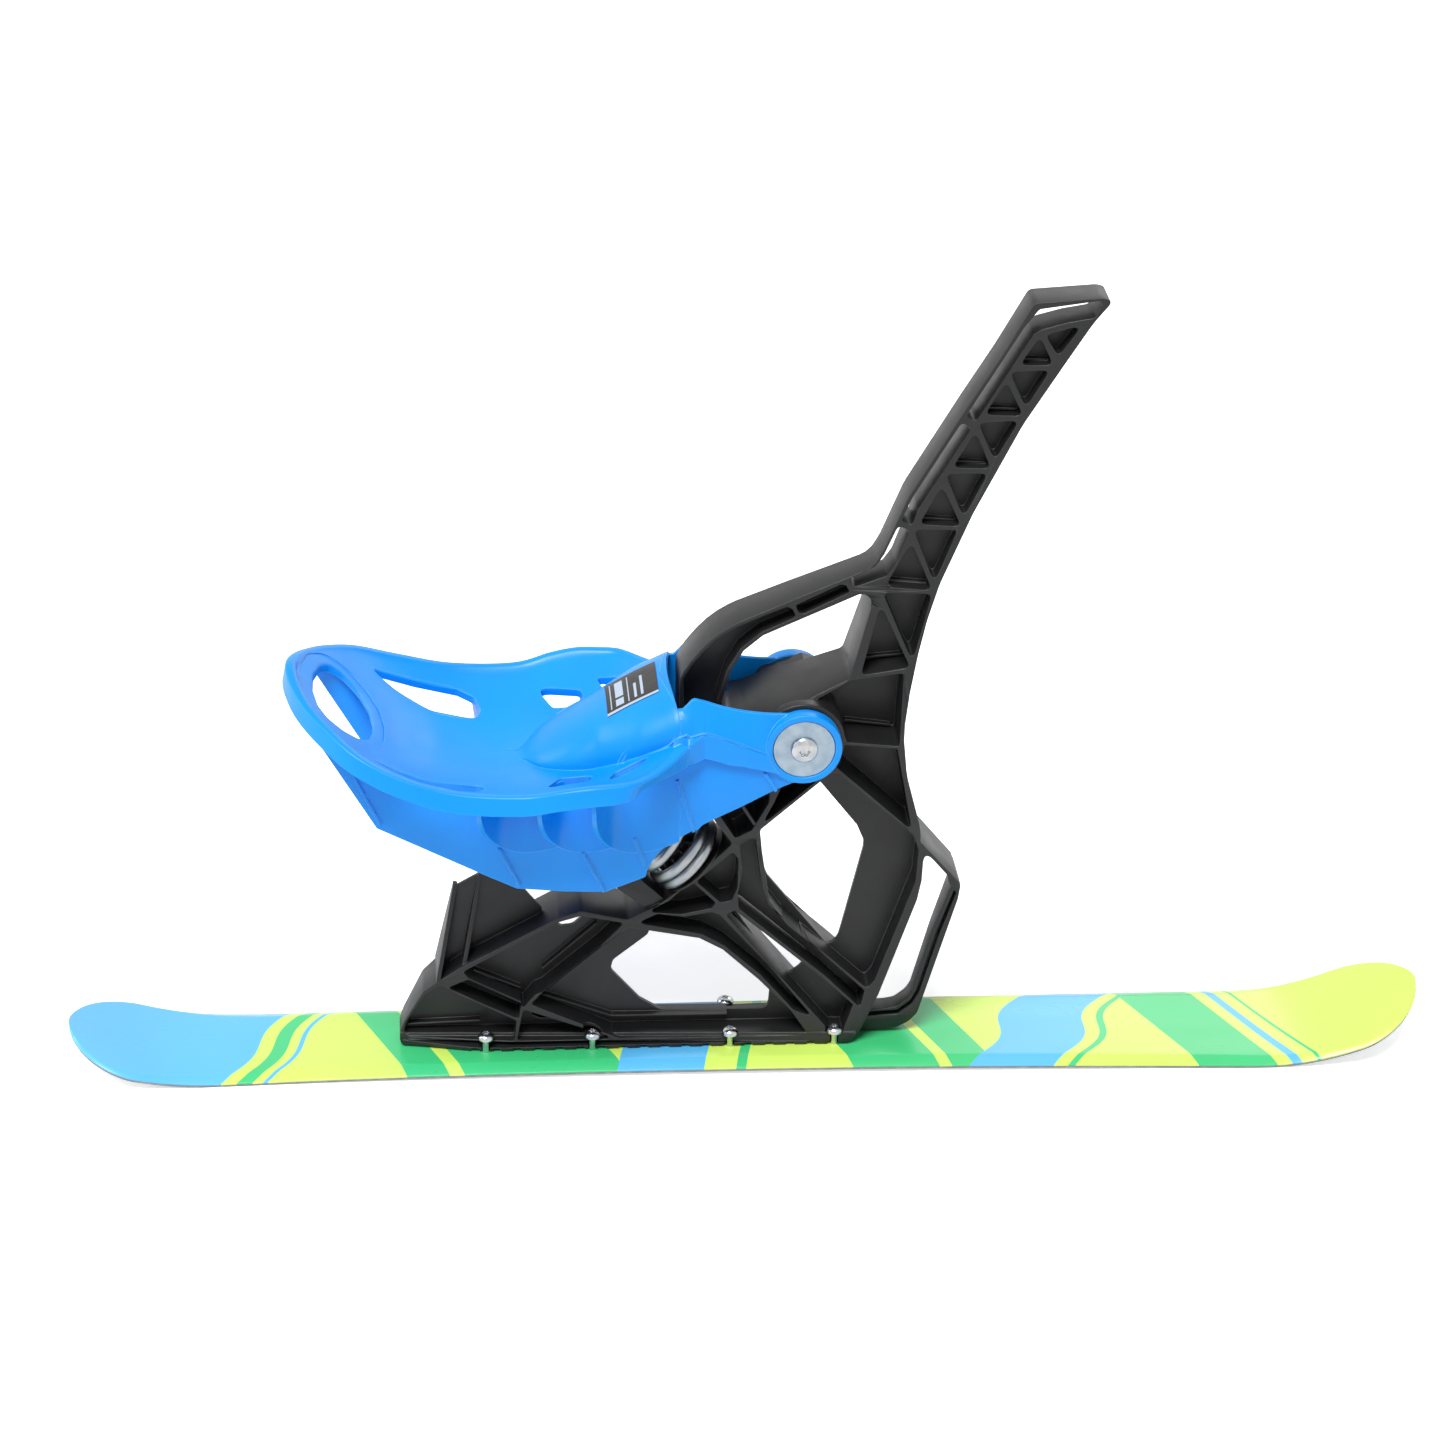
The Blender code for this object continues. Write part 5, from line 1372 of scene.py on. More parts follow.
@dataclass
class FrameMoulding:
    """Ribbed frame: foot, rail, struts, column, fender bar, arch and handle as one moulding."""

    finishes: Finishes
    ski: Ski
    web: float = 1.9
    boss: float = 33.0
    boss_half: float = 45.7
    bore: float = 11.6
    flange: tuple[float, float] = (16.4, 2.2)
    saddle_cut: tuple[float, float] = (-37.2, 50.0)
    rail: tuple[float, float, float] = (-285.0, 84.0, 22.5)
    teeth_end: float = -245.0
    tooth: tuple[float, float] = (17.0, 2.5)
    edge: float = 0.7
    half: float = 4.0
    box_half: float = 21.0
    post_rib: Point3 = (3.4, 21.5, 3.0)
    step_rib: tuple[float, float] = (2.2, 6.5)
    foot_line: tuple[float, float] = (1.8, 8.0)
    bay_rib: tuple[float, float] = (2.6, 1.2)

    @staticmethod
    def half_width(x: float, z: float) -> float:
        """Half width of the ribs at a place of the side view.

        Args:
            x: Place along the frame.
            z: Height.

        Returns:
            The half width.
        """
        if x < FOOT_WIDTHS[-1][0] and z < 100:
            return blend_keys(FOOT_WIDTHS, x)
        on_arch = z > 320 and x < z - 325 or z > 285 and x < -25
        return blend_keys(ARCH_WIDTHS, x) if on_arch else blend_keys(BODY_WIDTHS, z)

    def spread(self, shape: Shape, width: Callable[[float, float], float]) -> Shape:
        """Moves both faces of a plate out to the width of the ribs.

        Args:
            shape: The plate.
            width: Gives the half width from a place of the side view.

        Returns:
            The same plate.
        """
        for vert in shape.verts:
            side = 1 if vert.co.y > 0 else -1
            vert.co.y += side * (width(vert.co.x, vert.co.z) - self.half)
        return shape

    def strip(self, start: Point2, end: Point2, thickness: float, halves: tuple[float, float]) -> Shape:
        """A straight rib between two points of the side view.

        Args:
            start: One end.
            end: The other end.
            thickness: Thickness across the rib.
            halves: Half widths at the ends.

        Returns:
            The rib.
        """
        along = (Vector(end) - Vector(start)).normalized()
        side = Vector((-along.y, along.x)) * thickness / 2
        rows = []
        for spot, half in ((start, halves[0]), (end, halves[1])):
            corner = [(side.length, half), (side.length, -half), (-side.length, -half), (-side.length, half)]
            rows.append([(spot[0] + side.x * u / side.length, y, spot[1] + side.y * u / side.length)
                         for u, y in rounded(corner, 0.7, 3)])
        return skin(rows)

    def rail_outline(self) -> Outline:
        """Side view of the rail with small teeth over the ski.

        Returns:
            The outline.
        """
        rear, front, top = self.rail
        pitch, depth = self.tooth
        gap = self.ski.gap
        points = [(rear, top), (front, top), (front, top - 4)]
        x = front - 6.0
        while x > self.teeth_end + pitch:
            low = self.ski.top(x) + gap
            points.append((x, low))
            points.append((x - pitch * 0.55, self.ski.top(x - pitch * 0.55) + gap))
            points.append((x - pitch * 0.65, low + depth))
            points.append((x - pitch * 0.95, low + depth))
            x -= pitch
        points += [(x, self.ski.top(x) + gap) for x in (x, -262.0, -276.0, rear + 4)]
        points += [(rear + 1, self.ski.top(rear) + 2.5), (rear, self.ski.top(rear) + 6)]
        return points

    def fender(self) -> list[Shape]:
        """Slim bar in front of the column, with a groove along its sides.

        Returns:
            The bar and the web inside it.
        """
        def width(_x: float, z: float) -> float:
            """Half width of the bar."""
            return blend_keys(FENDER_WIDTHS, z)

        bar = plate([rounded(FENDER_BAR, 9.0, 6), rounded(FENDER_GROOVE, 2.4)], -self.half, self.half,
                    edge=self.edge)
        floor = plate([rounded(offset(FENDER_BAR, -1.4), 7.0, 4)], -self.web, self.web)
        return [self.spread(bar, width), floor]

    def toothed_rail(self, screws: Fasteners) -> Shape:
        """Rail under the foot with notches for the screws.

        Args:
            screws: Screws that the rail leaves room for.

        Returns:
            The rail.
        """
        rail = plate([self.rail_outline()], -self.half, self.half, edge=0.8)
        rail = self.spread(rail, lambda x, _z: blend_keys(RAIL_WIDTHS, x))
        radius = screws.shank + 0.5
        for x in screws.screw_x:
            for side in (-1, 1):
                loop = [(x + radius, side * 40)]
                loop += [(x + radius * cos(a), side * (screws.screw_y - radius * sin(a)))
                         for a in [pi * k / 12 for k in range(13)]]
                loop.append((x - radius, side * 40))
                rail = cut(rail, plate([loop], 5.0, self.rail[2] + 0.5, Plane.TOP))
        return rail

    def round_boss(self) -> Shape:
        """Round boss of the pivot, cut level with the saddle under the arch.

        Returns:
            The boss.
        """
        flange, room = self.flange
        half = self.boss_half
        profile = [(self.bore, half - room), (flange, half - room), (flange, half)]
        profile += rounded([(flange + 1, half), (self.boss, half), (self.boss, 0)], 1.6, 4,
                           closed=False)[1:-1]
        profile += [(r, -h) for r, h in reversed(profile)]
        boss = turned(profile, (0, 1, 0), PIVOT, 96)
        return cut(boss, plate([offset(rounded(OPENING_ARCH, 7.0, 8), 0.5)], *self.saddle_cut))

    def build_ribs(self, screws: Fasteners) -> Shape:
        """Flanges and ribs, open where the pockets and windows are.

        Args:
            screws: Screws whose heads stand in wells of the ribs.

        Returns:
            The ribs.
        """
        holes = [rounded(loop, 3.6) for loop in GRIP_SLOTS]
        holes += [rounded(offset(loop, 0.4), 3.8) for loop in TRUSS_POCKETS]
        holes += [rounded(loop, 2.4) for loop in ARCH_POCKETS]
        holes += [rounded(offset(loop, 0.7), 2.4) for loop in BODY_POCKETS]
        holes += [rounded(loop, 7.0, 8) for loop in (OPENING_ARCH, OPENING_COLUMN)]
        outline = rounded(HANDLE_REAR, 42.0, 5, closed=False) + rounded(HANDLE_FRONT, 60.0, 5, closed=False)
        outline = rounded(outline + FENDER_TOP + FOOT_FRONT + UPPER_FLANGE + SPRING_SEAT + BAY_WALL, 6.0, 6)
        ribs = self.spread(plate([outline] + holes, -self.half, self.half, edge=self.edge), self.half_width)
        well = [(0, 12), (screws.head + 1, 12), (screws.head + 1, 0), (0, 0)]
        for x in screws.screw_x:
            for side in (-1, 1):
                spot = (x, side * screws.screw_y, self.rail[2])
                ribs = cut(ribs, turned(well, (0, 0, 1), spot, 32))
        hollow = [(0, 60), (self.bore, 60), (self.bore, -60), (0, -60)]
        return cut(ribs, turned(hollow, (0, 1, 0), PIVOT, 48))

    def build_web(self) -> Shape:
        """Thin middle wall behind the pockets.

        Returns:
            The wall.
        """
        inset = rounded(offset(FRAME_OUTLINE, -1.4), 6.0, 4)
        holes = [offset(rounded(loop, 3.0), 0.6) for loop in GRIP_SLOTS]
        holes += [rounded(loop, 7.0, 6) for loop in WEB_OPENINGS]
        return plate([inset] + holes, -self.web, self.web)

    def build_strips(self) -> list[Shape]:
        """Straight ribs on the post, the handle, the foot and the spring's bay.

        Returns:
            The ribs.
        """
        thickness, wide, narrow = self.post_rib
        strips = [self.strip(start, end, thickness, (wide, narrow)) for start, end in POST_RIBS]
        for lines, (thickness, half) in ((STEP_RIBS, self.step_rib), (FOOT_LINES, self.foot_line)):
            strips += [self.strip(start, end, thickness, (half, half)) for start, end in lines]
        thickness, inset = self.bay_rib
        for start, end in BAY_RIBS:
            halves = (self.half_width(*start) - inset, self.half_width(*end) - inset)
            strips.append(self.strip(start, end, thickness, halves))
        return strips

    def build(self, screws: Fasteners) -> None:
        """Builds the frame.

        Args:
            screws: Screws that the rail leaves room for.
        """
        ribs = self.build_ribs(screws)
        post = plate([rounded(POST_WEB, 4.0)], -self.web + 0.2, self.web - 0.2, edge=0.4)
        box = plate([rounded(SPRING_BOX, 1.5)], -self.box_half, self.box_half, edge=0.7)
        whole = merged(ribs, self.build_web(), post, box, self.round_boss(), self.toothed_rail(screws),
                       *self.fender(), *self.build_strips())
        settle(whole, "frame_moulding", self.finishes.frame, Body.FRAME, ["frame"], 32)


@dataclass
class Seat:
    """Moulded seat: thin bucket with a rolled rim, horn, arms, skirts and gussets."""

    finishes: Finishes
    wall: float = 3.4
    rim_steps: int = 7
    lip: Point2 = (8.4, 2.2)
    roll: tuple[Point2, ...] = RIM_ROLL
    band: tuple[float, ...] = (0.25, 0.5, 0.75, 1.0)
    row_end: float = -61.9
    bow_start: float = -112.0
    bow_end: float = -62.0
    gather_start: float = -240.0
    inner_angles: tuple[float, ...] = (0, 12, 24, 36, 48, 59, 69, 77, 83, 87.5)
    outer_shares: tuple[float, ...] = (0.0, 0.03, 0.08, 0.16, 0.28, 0.4, 0.52, 0.64, 0.75, 0.85, 0.93, 1.0)
    soft_foot: tuple[Point2, Point2] = ((-196.0, -66.0), (0.86, 1.16))
    soft_passes: int = 5
    arm: tuple[float, float] = (46.3, 57.6)
    arm_crest: float = 60.2
    arm_root: tuple[float, float] = (-66.5, 10.0)
    arm_start: float = -74.0
    bead: float = 0.95
    skirt: tuple[float, float] = (50.5, 55.0)
    fin_length: float = 71.0
    fin_heights: tuple[float, float] = (220.0, 281.0)
    fin_steps: int = 22
    fin_bend: int = 8
    fin_climb: float = 0.528
    hub: float = 29.5
    washer_room: float = 24.3
    horn: tuple[float, float] = (-186.0, -75.0)
    horn_round: float = 56.5
    horn_nose: float = 7.0
    horn_heights: tuple[float, float] = (272.5, 341.0)
    inside: list[Point3] = field(default_factory=list)

    def __post_init__(self) -> None:
        """Follows the rim's inner edge, where the upper face ends."""
        path = self.rim_half()
        for i, spot in enumerate(path):
            place = spot - self.outward(path, i) * self.lip[0]
            if not self.inside or place.x > self.inside[-1][0]:
                self.inside.append((place.x, max(place.y, 0.0), spot.z - self.lip[1] * self.step(spot.x)))

    def horn_half(self, x: float) -> float:
        """Half width of the horn at its foot.

        Args:
            x: Place along the seat.

        Returns:
            The half width.
        """
        start, half = HORN_SIDES[0]
        if x < start:
            return half * sqrt(max(0.02, 1 - ((x - start) / self.horn_round) ** 2))
        return blend_keys(HORN_SIDES, x)

    def height(self, x: float, y: float, width: float, crest: float) -> float:
        """Upper face of the bucket and horn.

        Args:
            x: Place along the seat.
            y: Place across the seat.
            width: Half width of the rim there.
            crest: Height of the rim there.

        Returns:
            The height.
        """
        floor = blend_keys(FLOOR_KEYS, x)
        share = min(1.0, abs(y) / max(width, 0.5))
        bowl = floor + (crest - floor) * share ** 2.2
        rear, mouth = self.horn
        across = abs(y) / self.horn_half(x)
        if x <= rear or across >= 1:
            return bowl
        ahead = (x - rear) / (mouth - rear)
        nose, top = self.horn_heights
        ridge = nose + (top - nose) * min(1.05, ahead) ** 0.8
        power = 2.0 + min(1.0, ahead)
        return bowl + (ridge - floor) * (1 - across ** power) ** 0.5

    def step(self, x: float) -> float:
        """Share of the lip's full step over the upper face, fading toward the arm."""
        return min(1.0, max(0.08, (self.bow_end - x) / 45))

    @staticmethod
    def mouth_line(y: float) -> float:
        """Place of the horn's mouth along the seat."""
        return -70 + 5 * min(1.0, y / 46) ** 2 + 3 * min(1.0, max(0.0, y - 46) / 12)

    def level(self, x: float, y: float) -> float:
        """Height of the upper face at a place of the seat.

        Args:
            x: Place along the seat.
            y: Place across the seat.

        Returns:
            The height.
        """
        row = x
        start = self.bow_start
        if x > start:
            row = start + (x - start) * (self.bow_end - start) / (self.mouth_line(abs(y)) - start)
        width = blend_keys([(px, py) for px, py, _pz in self.inside], row)
        crest = blend_keys([(px, pz) for px, _py, pz in self.inside], row)
        return self.height(x, y, max(width, abs(y)), crest)

    def rim_half(self) -> list[Vector]:
        """Path of the left half of the rim, from the rear to the end of the arm."""
        return smooth_path([(-366, -22, 348.5)] + RIM_PATH + ARM_PATH, self.rim_steps)[self.rim_steps:]

    @staticmethod
    def outward(path: Sequence[Vector], i: int) -> Vector:
        """Direction away from the seat at one point of the rim.

        Args:
            path: Path of the rim.
            i: Number of the point.

        Returns:
            The level direction.
        """
        if i == 0:
            return Vector((-1, 0, 0))
        along = path[min(i + 1, len(path) - 1)] - path[i - 1]
        return Vector((-along.y, along.x, 0)).normalized()

    def rim_band(self, x: float) -> tuple[Point2, ...]:
        """Points of the rim's outer band.

        Args:
            x: Place along the seat.

        Returns:
            The points, outward and up from the rim.
        """
        start_u, start_v = self.roll[-1]
        flare, drop = blend_keys(RIM_FLARES, x), blend_keys(RIM_DROPS, x)
        return tuple((start_u + (flare - start_u) * t, start_v - (drop + start_v) * t) for t in self.band)

    def reach(self, x: float, width: float) -> float:
        """Half width of the inner points of a row, which gather at the foot of the horn.

        Args:
            x: Place along the seat.
            width: Half width of the whole row.

        Returns:
            The half width of the inner points.
        """
        rear = self.horn[0]
        foot = self.horn_half(max(x, rear))
        if x < rear:
            share = eased((x - self.gather_start) / (rear - self.gather_start))
            foot = width * 0.4 * (1 - share) + max(self.horn_nose, self.horn_half(rear)) * share
        return min(max(foot, self.horn_nose), width * 0.93)

    def rows(self, rolled: bool) -> list[list[Point3]]:
        """Rows of points over the bucket and horn, from the rear to the mouth.

        Args:
            rolled: Whether the rows go on over the rim and down its outer band.

        Returns:
            Equal rows from right to left.
        """
        path = self.rim_half()
        start = self.bow_start
        rows = []
        for i, spot in enumerate(path):
            if spot.x > self.row_end:
                break
            out = self.outward(path, i)
            inner = spot - out * self.lip[0]
            share = self.step(spot.x)
            width, crest, x = max(inner.y, 0.0), spot.z - self.lip[1] * share, inner.x
            reach = self.reach(x, width)
            ys = [reach * sin(radians(angle)) for angle in self.inner_angles]
            ys += [reach + (width - reach) * outer for outer in self.outer_shares]
            half = []
            for y in ys:
                place = x
                if x >= start:
                    place = start + (x - start) * (self.mouth_line(y) - start) / (self.bow_end - start)
                half.append((place, y, self.height(place, y, width, crest)))
            if rolled:
                roll = tuple((u, v * share if u < -2 else v) for u, v in self.roll)
                half += [tuple(spot + out * u + Vector((0, 0, v))) for u, v in roll + self.rim_band(spot.x)]
            rows.append([(px, -py, pz) for px, py, pz in half[:0:-1]] + half)
        return rows

    def sheet(self, rolled: bool) -> Shape:
        """Open sheet of the upper face, facing up, with a soft foot round the horn.

        Args:
            rolled: Whether the sheet goes on over the rim.

        Returns:
            The sheet.
        """
        shape = skin(self.rows(rolled), ring=False, caps=False)
        shape.normal_update()
        if sum(face.normal.z * face.calc_area() for face in shape.faces) < 0:
            bmesh.ops.reverse_faces(shape, faces=shape.faces)
        (rear, front), (inner, outer) = self.soft_foot
        foot = []
        for vert in shape.verts:
            x, y = vert.co.x, vert.co.y
            half = max(self.horn_half(max(x, self.horn[0])), self.horn_nose)
            if rear < x < front and not vert.is_boundary and inner < abs(y) / half < outer:
                foot.append(vert)
        for _pass in range(self.soft_passes):
            bmesh.ops.smooth_vert(shape, verts=foot, factor=0.5, use_axis_x=False, use_axis_y=False,
                                  use_axis_z=True)
        return shape

    def openings(self) -> list[Outline]:
        """Rounded outlines of the slots on both sides."""
        loops = [rounded(loop, 6.0, 5) for loop in SEAT_SLOTS]
        return loops + [[(x, -y) for x, y in reversed(loop)] for loop in loops]

    def carry_hole(self) -> Outline:
        """Rounded outline of the carrying hole."""
        return rounded(CARRY_HOLE + [(x, -y) for x, y in reversed(CARRY_HOLE)], 9.0, 6)

    def border(self, loop: Outline, section: Sequence[Point2]) -> Shape:
        """Closed ring round an opening.

        Args:
            loop: Outline of the opening.
            section: Points of the ring, away from the opening and up from the upper face.

        Returns:
            The ring.
        """
        loops = [(offset(loop, away), up) for away, up in section]
        rows = [[(*line[i], self.level(*line[i]) + up) for line, up in loops] for i in range(len(loop))]
        return skin(rows + rows[:1], caps=False)

    def build_shell(self) -> list[Shape]:
        """Bucket with its openings, their inner walls and the stepped border of the carrying hole.

        Returns:
            The bucket and each border.
        """
        hole = self.carry_hole()
        shell = walled(self.sheet(True), self.wall)
        loops = self.openings() + [offset(hole, 9.5)]
        shell = cut(shell, plate(loops, 200, 420, Plane.TOP))
        rings = [self.border(loop, SLOT_WALL) for loop in self.openings()]
        return [shell, self.border(hole, HOLE_STEP)] + rings

    def build_collar(self) -> Shape:
        """Thick rounded lip round the horn's mouth.

        Returns:
            The lip, thinner toward its ends.
        """
        path = [Vector(point) for point in self.rows(False)[-1] if abs(point[1]) < HORN_SIDES[0][1]]
        section = rounded(COLLAR, 1.8, 4)
        rows = []
        for i, spot in enumerate(path):
            along = path[min(i + 1, len(path) - 1)] - path[max(i - 1, 0)]
            up = Vector((0, -along.z, along.y)).normalized()
            if up.z < 0:
                up = -up
            full = min(1.0, (i + 1) / 5, (len(path) - i) / 5)
            rows.append([spot + up * (u * full - 1.2 * (1 - full)) + Vector((v * full, 0, 0))
                         for u, v in section])
        return skin(rows)

    def bore(self, radius: float) -> Shape:
        """Cylinder along the pivot on the left side."""
        profile = [(0, 90), (radius, 90), (radius, 30), (0, 30)]
        return turned(profile, (0, 1, 0), PIVOT, 64)

    def arm_section(self, spot: Vector) -> list[Point3]:
        """Section of the left arm: its slanted face grows out of the side of the horn.

        Args:
            spot: Outer edge of the arm, where its faces meet the upright band.

        Returns:
            The points of the section.
        """
        inner = self.arm[0]
        top = blend_keys(ARM_TOP, spot.x)
        crest_y = min(self.arm_crest, spot.y - 0.9)
        crest_z = blend_keys(tuple((x, z) for x, _y, z in FOOT_LINE), min(spot.x, 10.0))
        crest_z = max(crest_z - 0.6, spot.z)
        foot = spot.z - blend_keys(RIM_DROPS, spot.x)
        flare = blend_keys(RIM_FLARES, spot.x)
        root, length = self.arm_root
        share = eased((spot.x - root) / length)
        face = []
        for k in range(10):
            y = inner + 3.0 + (crest_y - inner - 3.0) * k / 9
            level = top - 0.7 + (crest_z - top + 0.7) * k / 9
            horn = self.level(min(spot.x, self.mouth_line(y) - 0.2), y)
            sunk = 1.0 if spot.x < self.mouth_line(y) - 0.1 else 0.1
            face.append((y, level * share + horn * (1 - share) - sunk))
        hidden = spot.x < self.row_end
        face.append(((crest_y + spot.y) / 2, (crest_z + spot.z) / 2 - (4.0 if hidden else 0.1)))
        out, up = (spot.y - 0.5, spot.z - 1.2) if hidden else (spot.y, spot.z)
        ridge = [(out - 0.2, up - 0.1), (out + 0.02, up - 0.9), (out + flare / 2, (up + foot) / 2),
                 (out + flare, foot + 0.7), (out + flare - 0.7, foot)]
        edge = min(top, face[0][1] + 0.6)
        corner = [(inner, foot), (inner, edge - 0.9), (inner + 0.9, edge)] + face + ridge
        return [(spot.x, y, z) for y, z in corner]

    def build_arm(self) -> list[Shape]:
        """Left arm from the horn's side to the hub, and the raised line along its crest.

        Returns:
            The arm and the line.
        """
        rows = [self.arm_section(spot) for spot in self.rim_half() if spot.x > self.arm_start]
        arm = cut(skin(rows), self.bore(self.hub - 2.0))
        bead = []
        angles = [tau * k / 10 for k in range(10)]
        path = smooth_path(FOOT_LINE, 5)
        for i, spot in enumerate(path):
            size = self.bead * min(1.0, (i + 1) / 8, (len(path) - i) / 6)
            if spot.x < -61:
                spot.z = self.level(spot.x, spot.y) + 0.1
            bead.append([spot + Vector((0, size * cos(a), size * sin(a))) for a in angles])
        return [arm, skin(bead)]

    def build_skirt(self) -> Shape:
        """Left skirt with its raised ribs.

        Returns:
            The skirt.
        """
        low, high = self.skirt
        top = [(x, min(self.level(x, low), self.level(x, high)) - 2.0) for x in SKIRT_TOP_X]
        top += SKIRT_UNDER_ARM
        skirt = plate([rounded(SKIRT_BOTTOM, 3.0, closed=False) + top], low, high, edge=0.9)
        skirt = cut(skirt, self.bore(self.hub - 2.0))
        ribs = []
        for (x0, z0), (x1, z1) in SKIRT_RIBS:
            along = (Vector((x1, z1)) - Vector((x0, z0))).normalized()
            side = Vector((-along.y, along.x)) * 1.3
            loop = [(x0 + side.x, z0 + side.y), (x1 + side.x, z1 + side.y), (x1 - side.x, z1 - side.y),
                    (x0 - side.x, z0 - side.y)]
            ribs.append(plate([loop], high - 1.5, high + 1.9, edge=0.7))
        return merged(skirt, *ribs)

    def fin(self, start: float) -> Shape:
        """Left curved gusset from the skirt out to the rim.

        Args:
            start: Place of its outer end along the seat.

        Returns:
            The gusset.
        """
        steps, length, bend = self.fin_steps, self.fin_length, self.fin_bend
        foot, top = self.fin_heights
        root = self.skirt[1] - 1.5
        reach = blend_keys([(x, y) for x, y, _z in RIM_PATH], start)
        rows = []
        for k in range(steps + 1):
            t = (k / steps) ** 1.6
            x = start + length * t
            y = root + (reach - root) * (1 - t) ** bend
            straight = reach + (root - reach) * t
            low = foot + (top - foot) * (1 - sqrt(max(0.0, 1 - (1 - t) ** 2)))
            low += (y - straight) * self.fin_climb
            high = max(self.level(x, y) - 2.0, low + 6.0)
            away = Vector((bend * (reach - root) * (1 - t) ** (bend - 1), length, 0)).normalized()
            corner = rounded([(2.4, low), (1.7, low + 5), (1.2, high), (-1.2, high), (-1.4, low)], 1.0, 3)
            rows.append([(x + away.x * u, y + away.y * u, z) for u, z in corner])
        return skin(rows)

    def build_hub(self) -> Shape:
        """Left hub: a ring round the washer's recess, over a plain disc on the axle.

        Returns:
            The hub.
        """
        inner, outer = self.arm[0] - 0.1, self.arm[1] + 0.3
        profile = rounded([(8.4, 54.1), (8.4, inner), (self.hub, inner), (self.hub, outer),
                           (self.washer_room, outer), (self.washer_room, 54.1)], 1.1, 4)
        return turned(profile, (0, 1, 0), PIVOT, 96)

    def build_label(self) -> Shape:
        """Thin label over the top of the horn.

        Returns:
            The label.
        """
        (rear, front), (right, left) = LABEL_AREA
        rows = []
        for i in range(13):
            x = rear + (front - rear) * i / 12
            ys = [right + (left - right) * k / 18 for k in range(19)]
            face = [(x, y, self.level(x, y)) for y in ys]
            rows.append([(px, py, pz + 0.55) for px, py, pz in face]
                        + [(px, py, pz - 0.5) for px, py, pz in reversed(face)])
        return skin(rows)

    def build_bulkhead(self) -> Shape:
        """Sloping wall over the spring and the upright wall behind it, between the skirts.

        Returns:
            Both walls.
        """
        face = SPRING.space + SPRING.gap
        back = face + 5.0
        reach = sum(self.skirt) / 2
        slope = plate([[SPRING.flat(face, -46), SPRING.flat(face, 58), SPRING.flat(back, 58),
                        SPRING.flat(back, -46)]], -reach, reach, edge=0.6)
        hole = turned([(0, back + 2), (3.2, back + 2), (3.2, face - 2), (0, face - 2)], SPRING.axis,
                      SPRING.at(0), 24)
        low = SPRING.flat((face + back) / 2, -44.5)
        upright = plate([[low, (low[0] + 4, low[1] + 4), (low[0] + 4, 272), (low[0], 272)]], -reach, reach)
        return merged(cut(slope, hole), upright)

    def build(self) -> None:
        """Builds the whole moulding as one piece."""
        halves = self.build_arm() + [self.build_skirt(), self.build_hub()]
        halves += [self.fin(start) for start in FIN_STARTS]
        shells = self.build_shell() + [self.build_collar(), self.build_bulkhead()]
        whole = merged(*shells, *[mirrored(half) for half in halves])
        settle(whole, "seat_moulding", self.finishes.seat, Body.SEAT, ["seat"], 38)
        settle(self.build_label(), "plain_label", self.finishes.label, Body.SEAT, ["horn_plate"], 40)


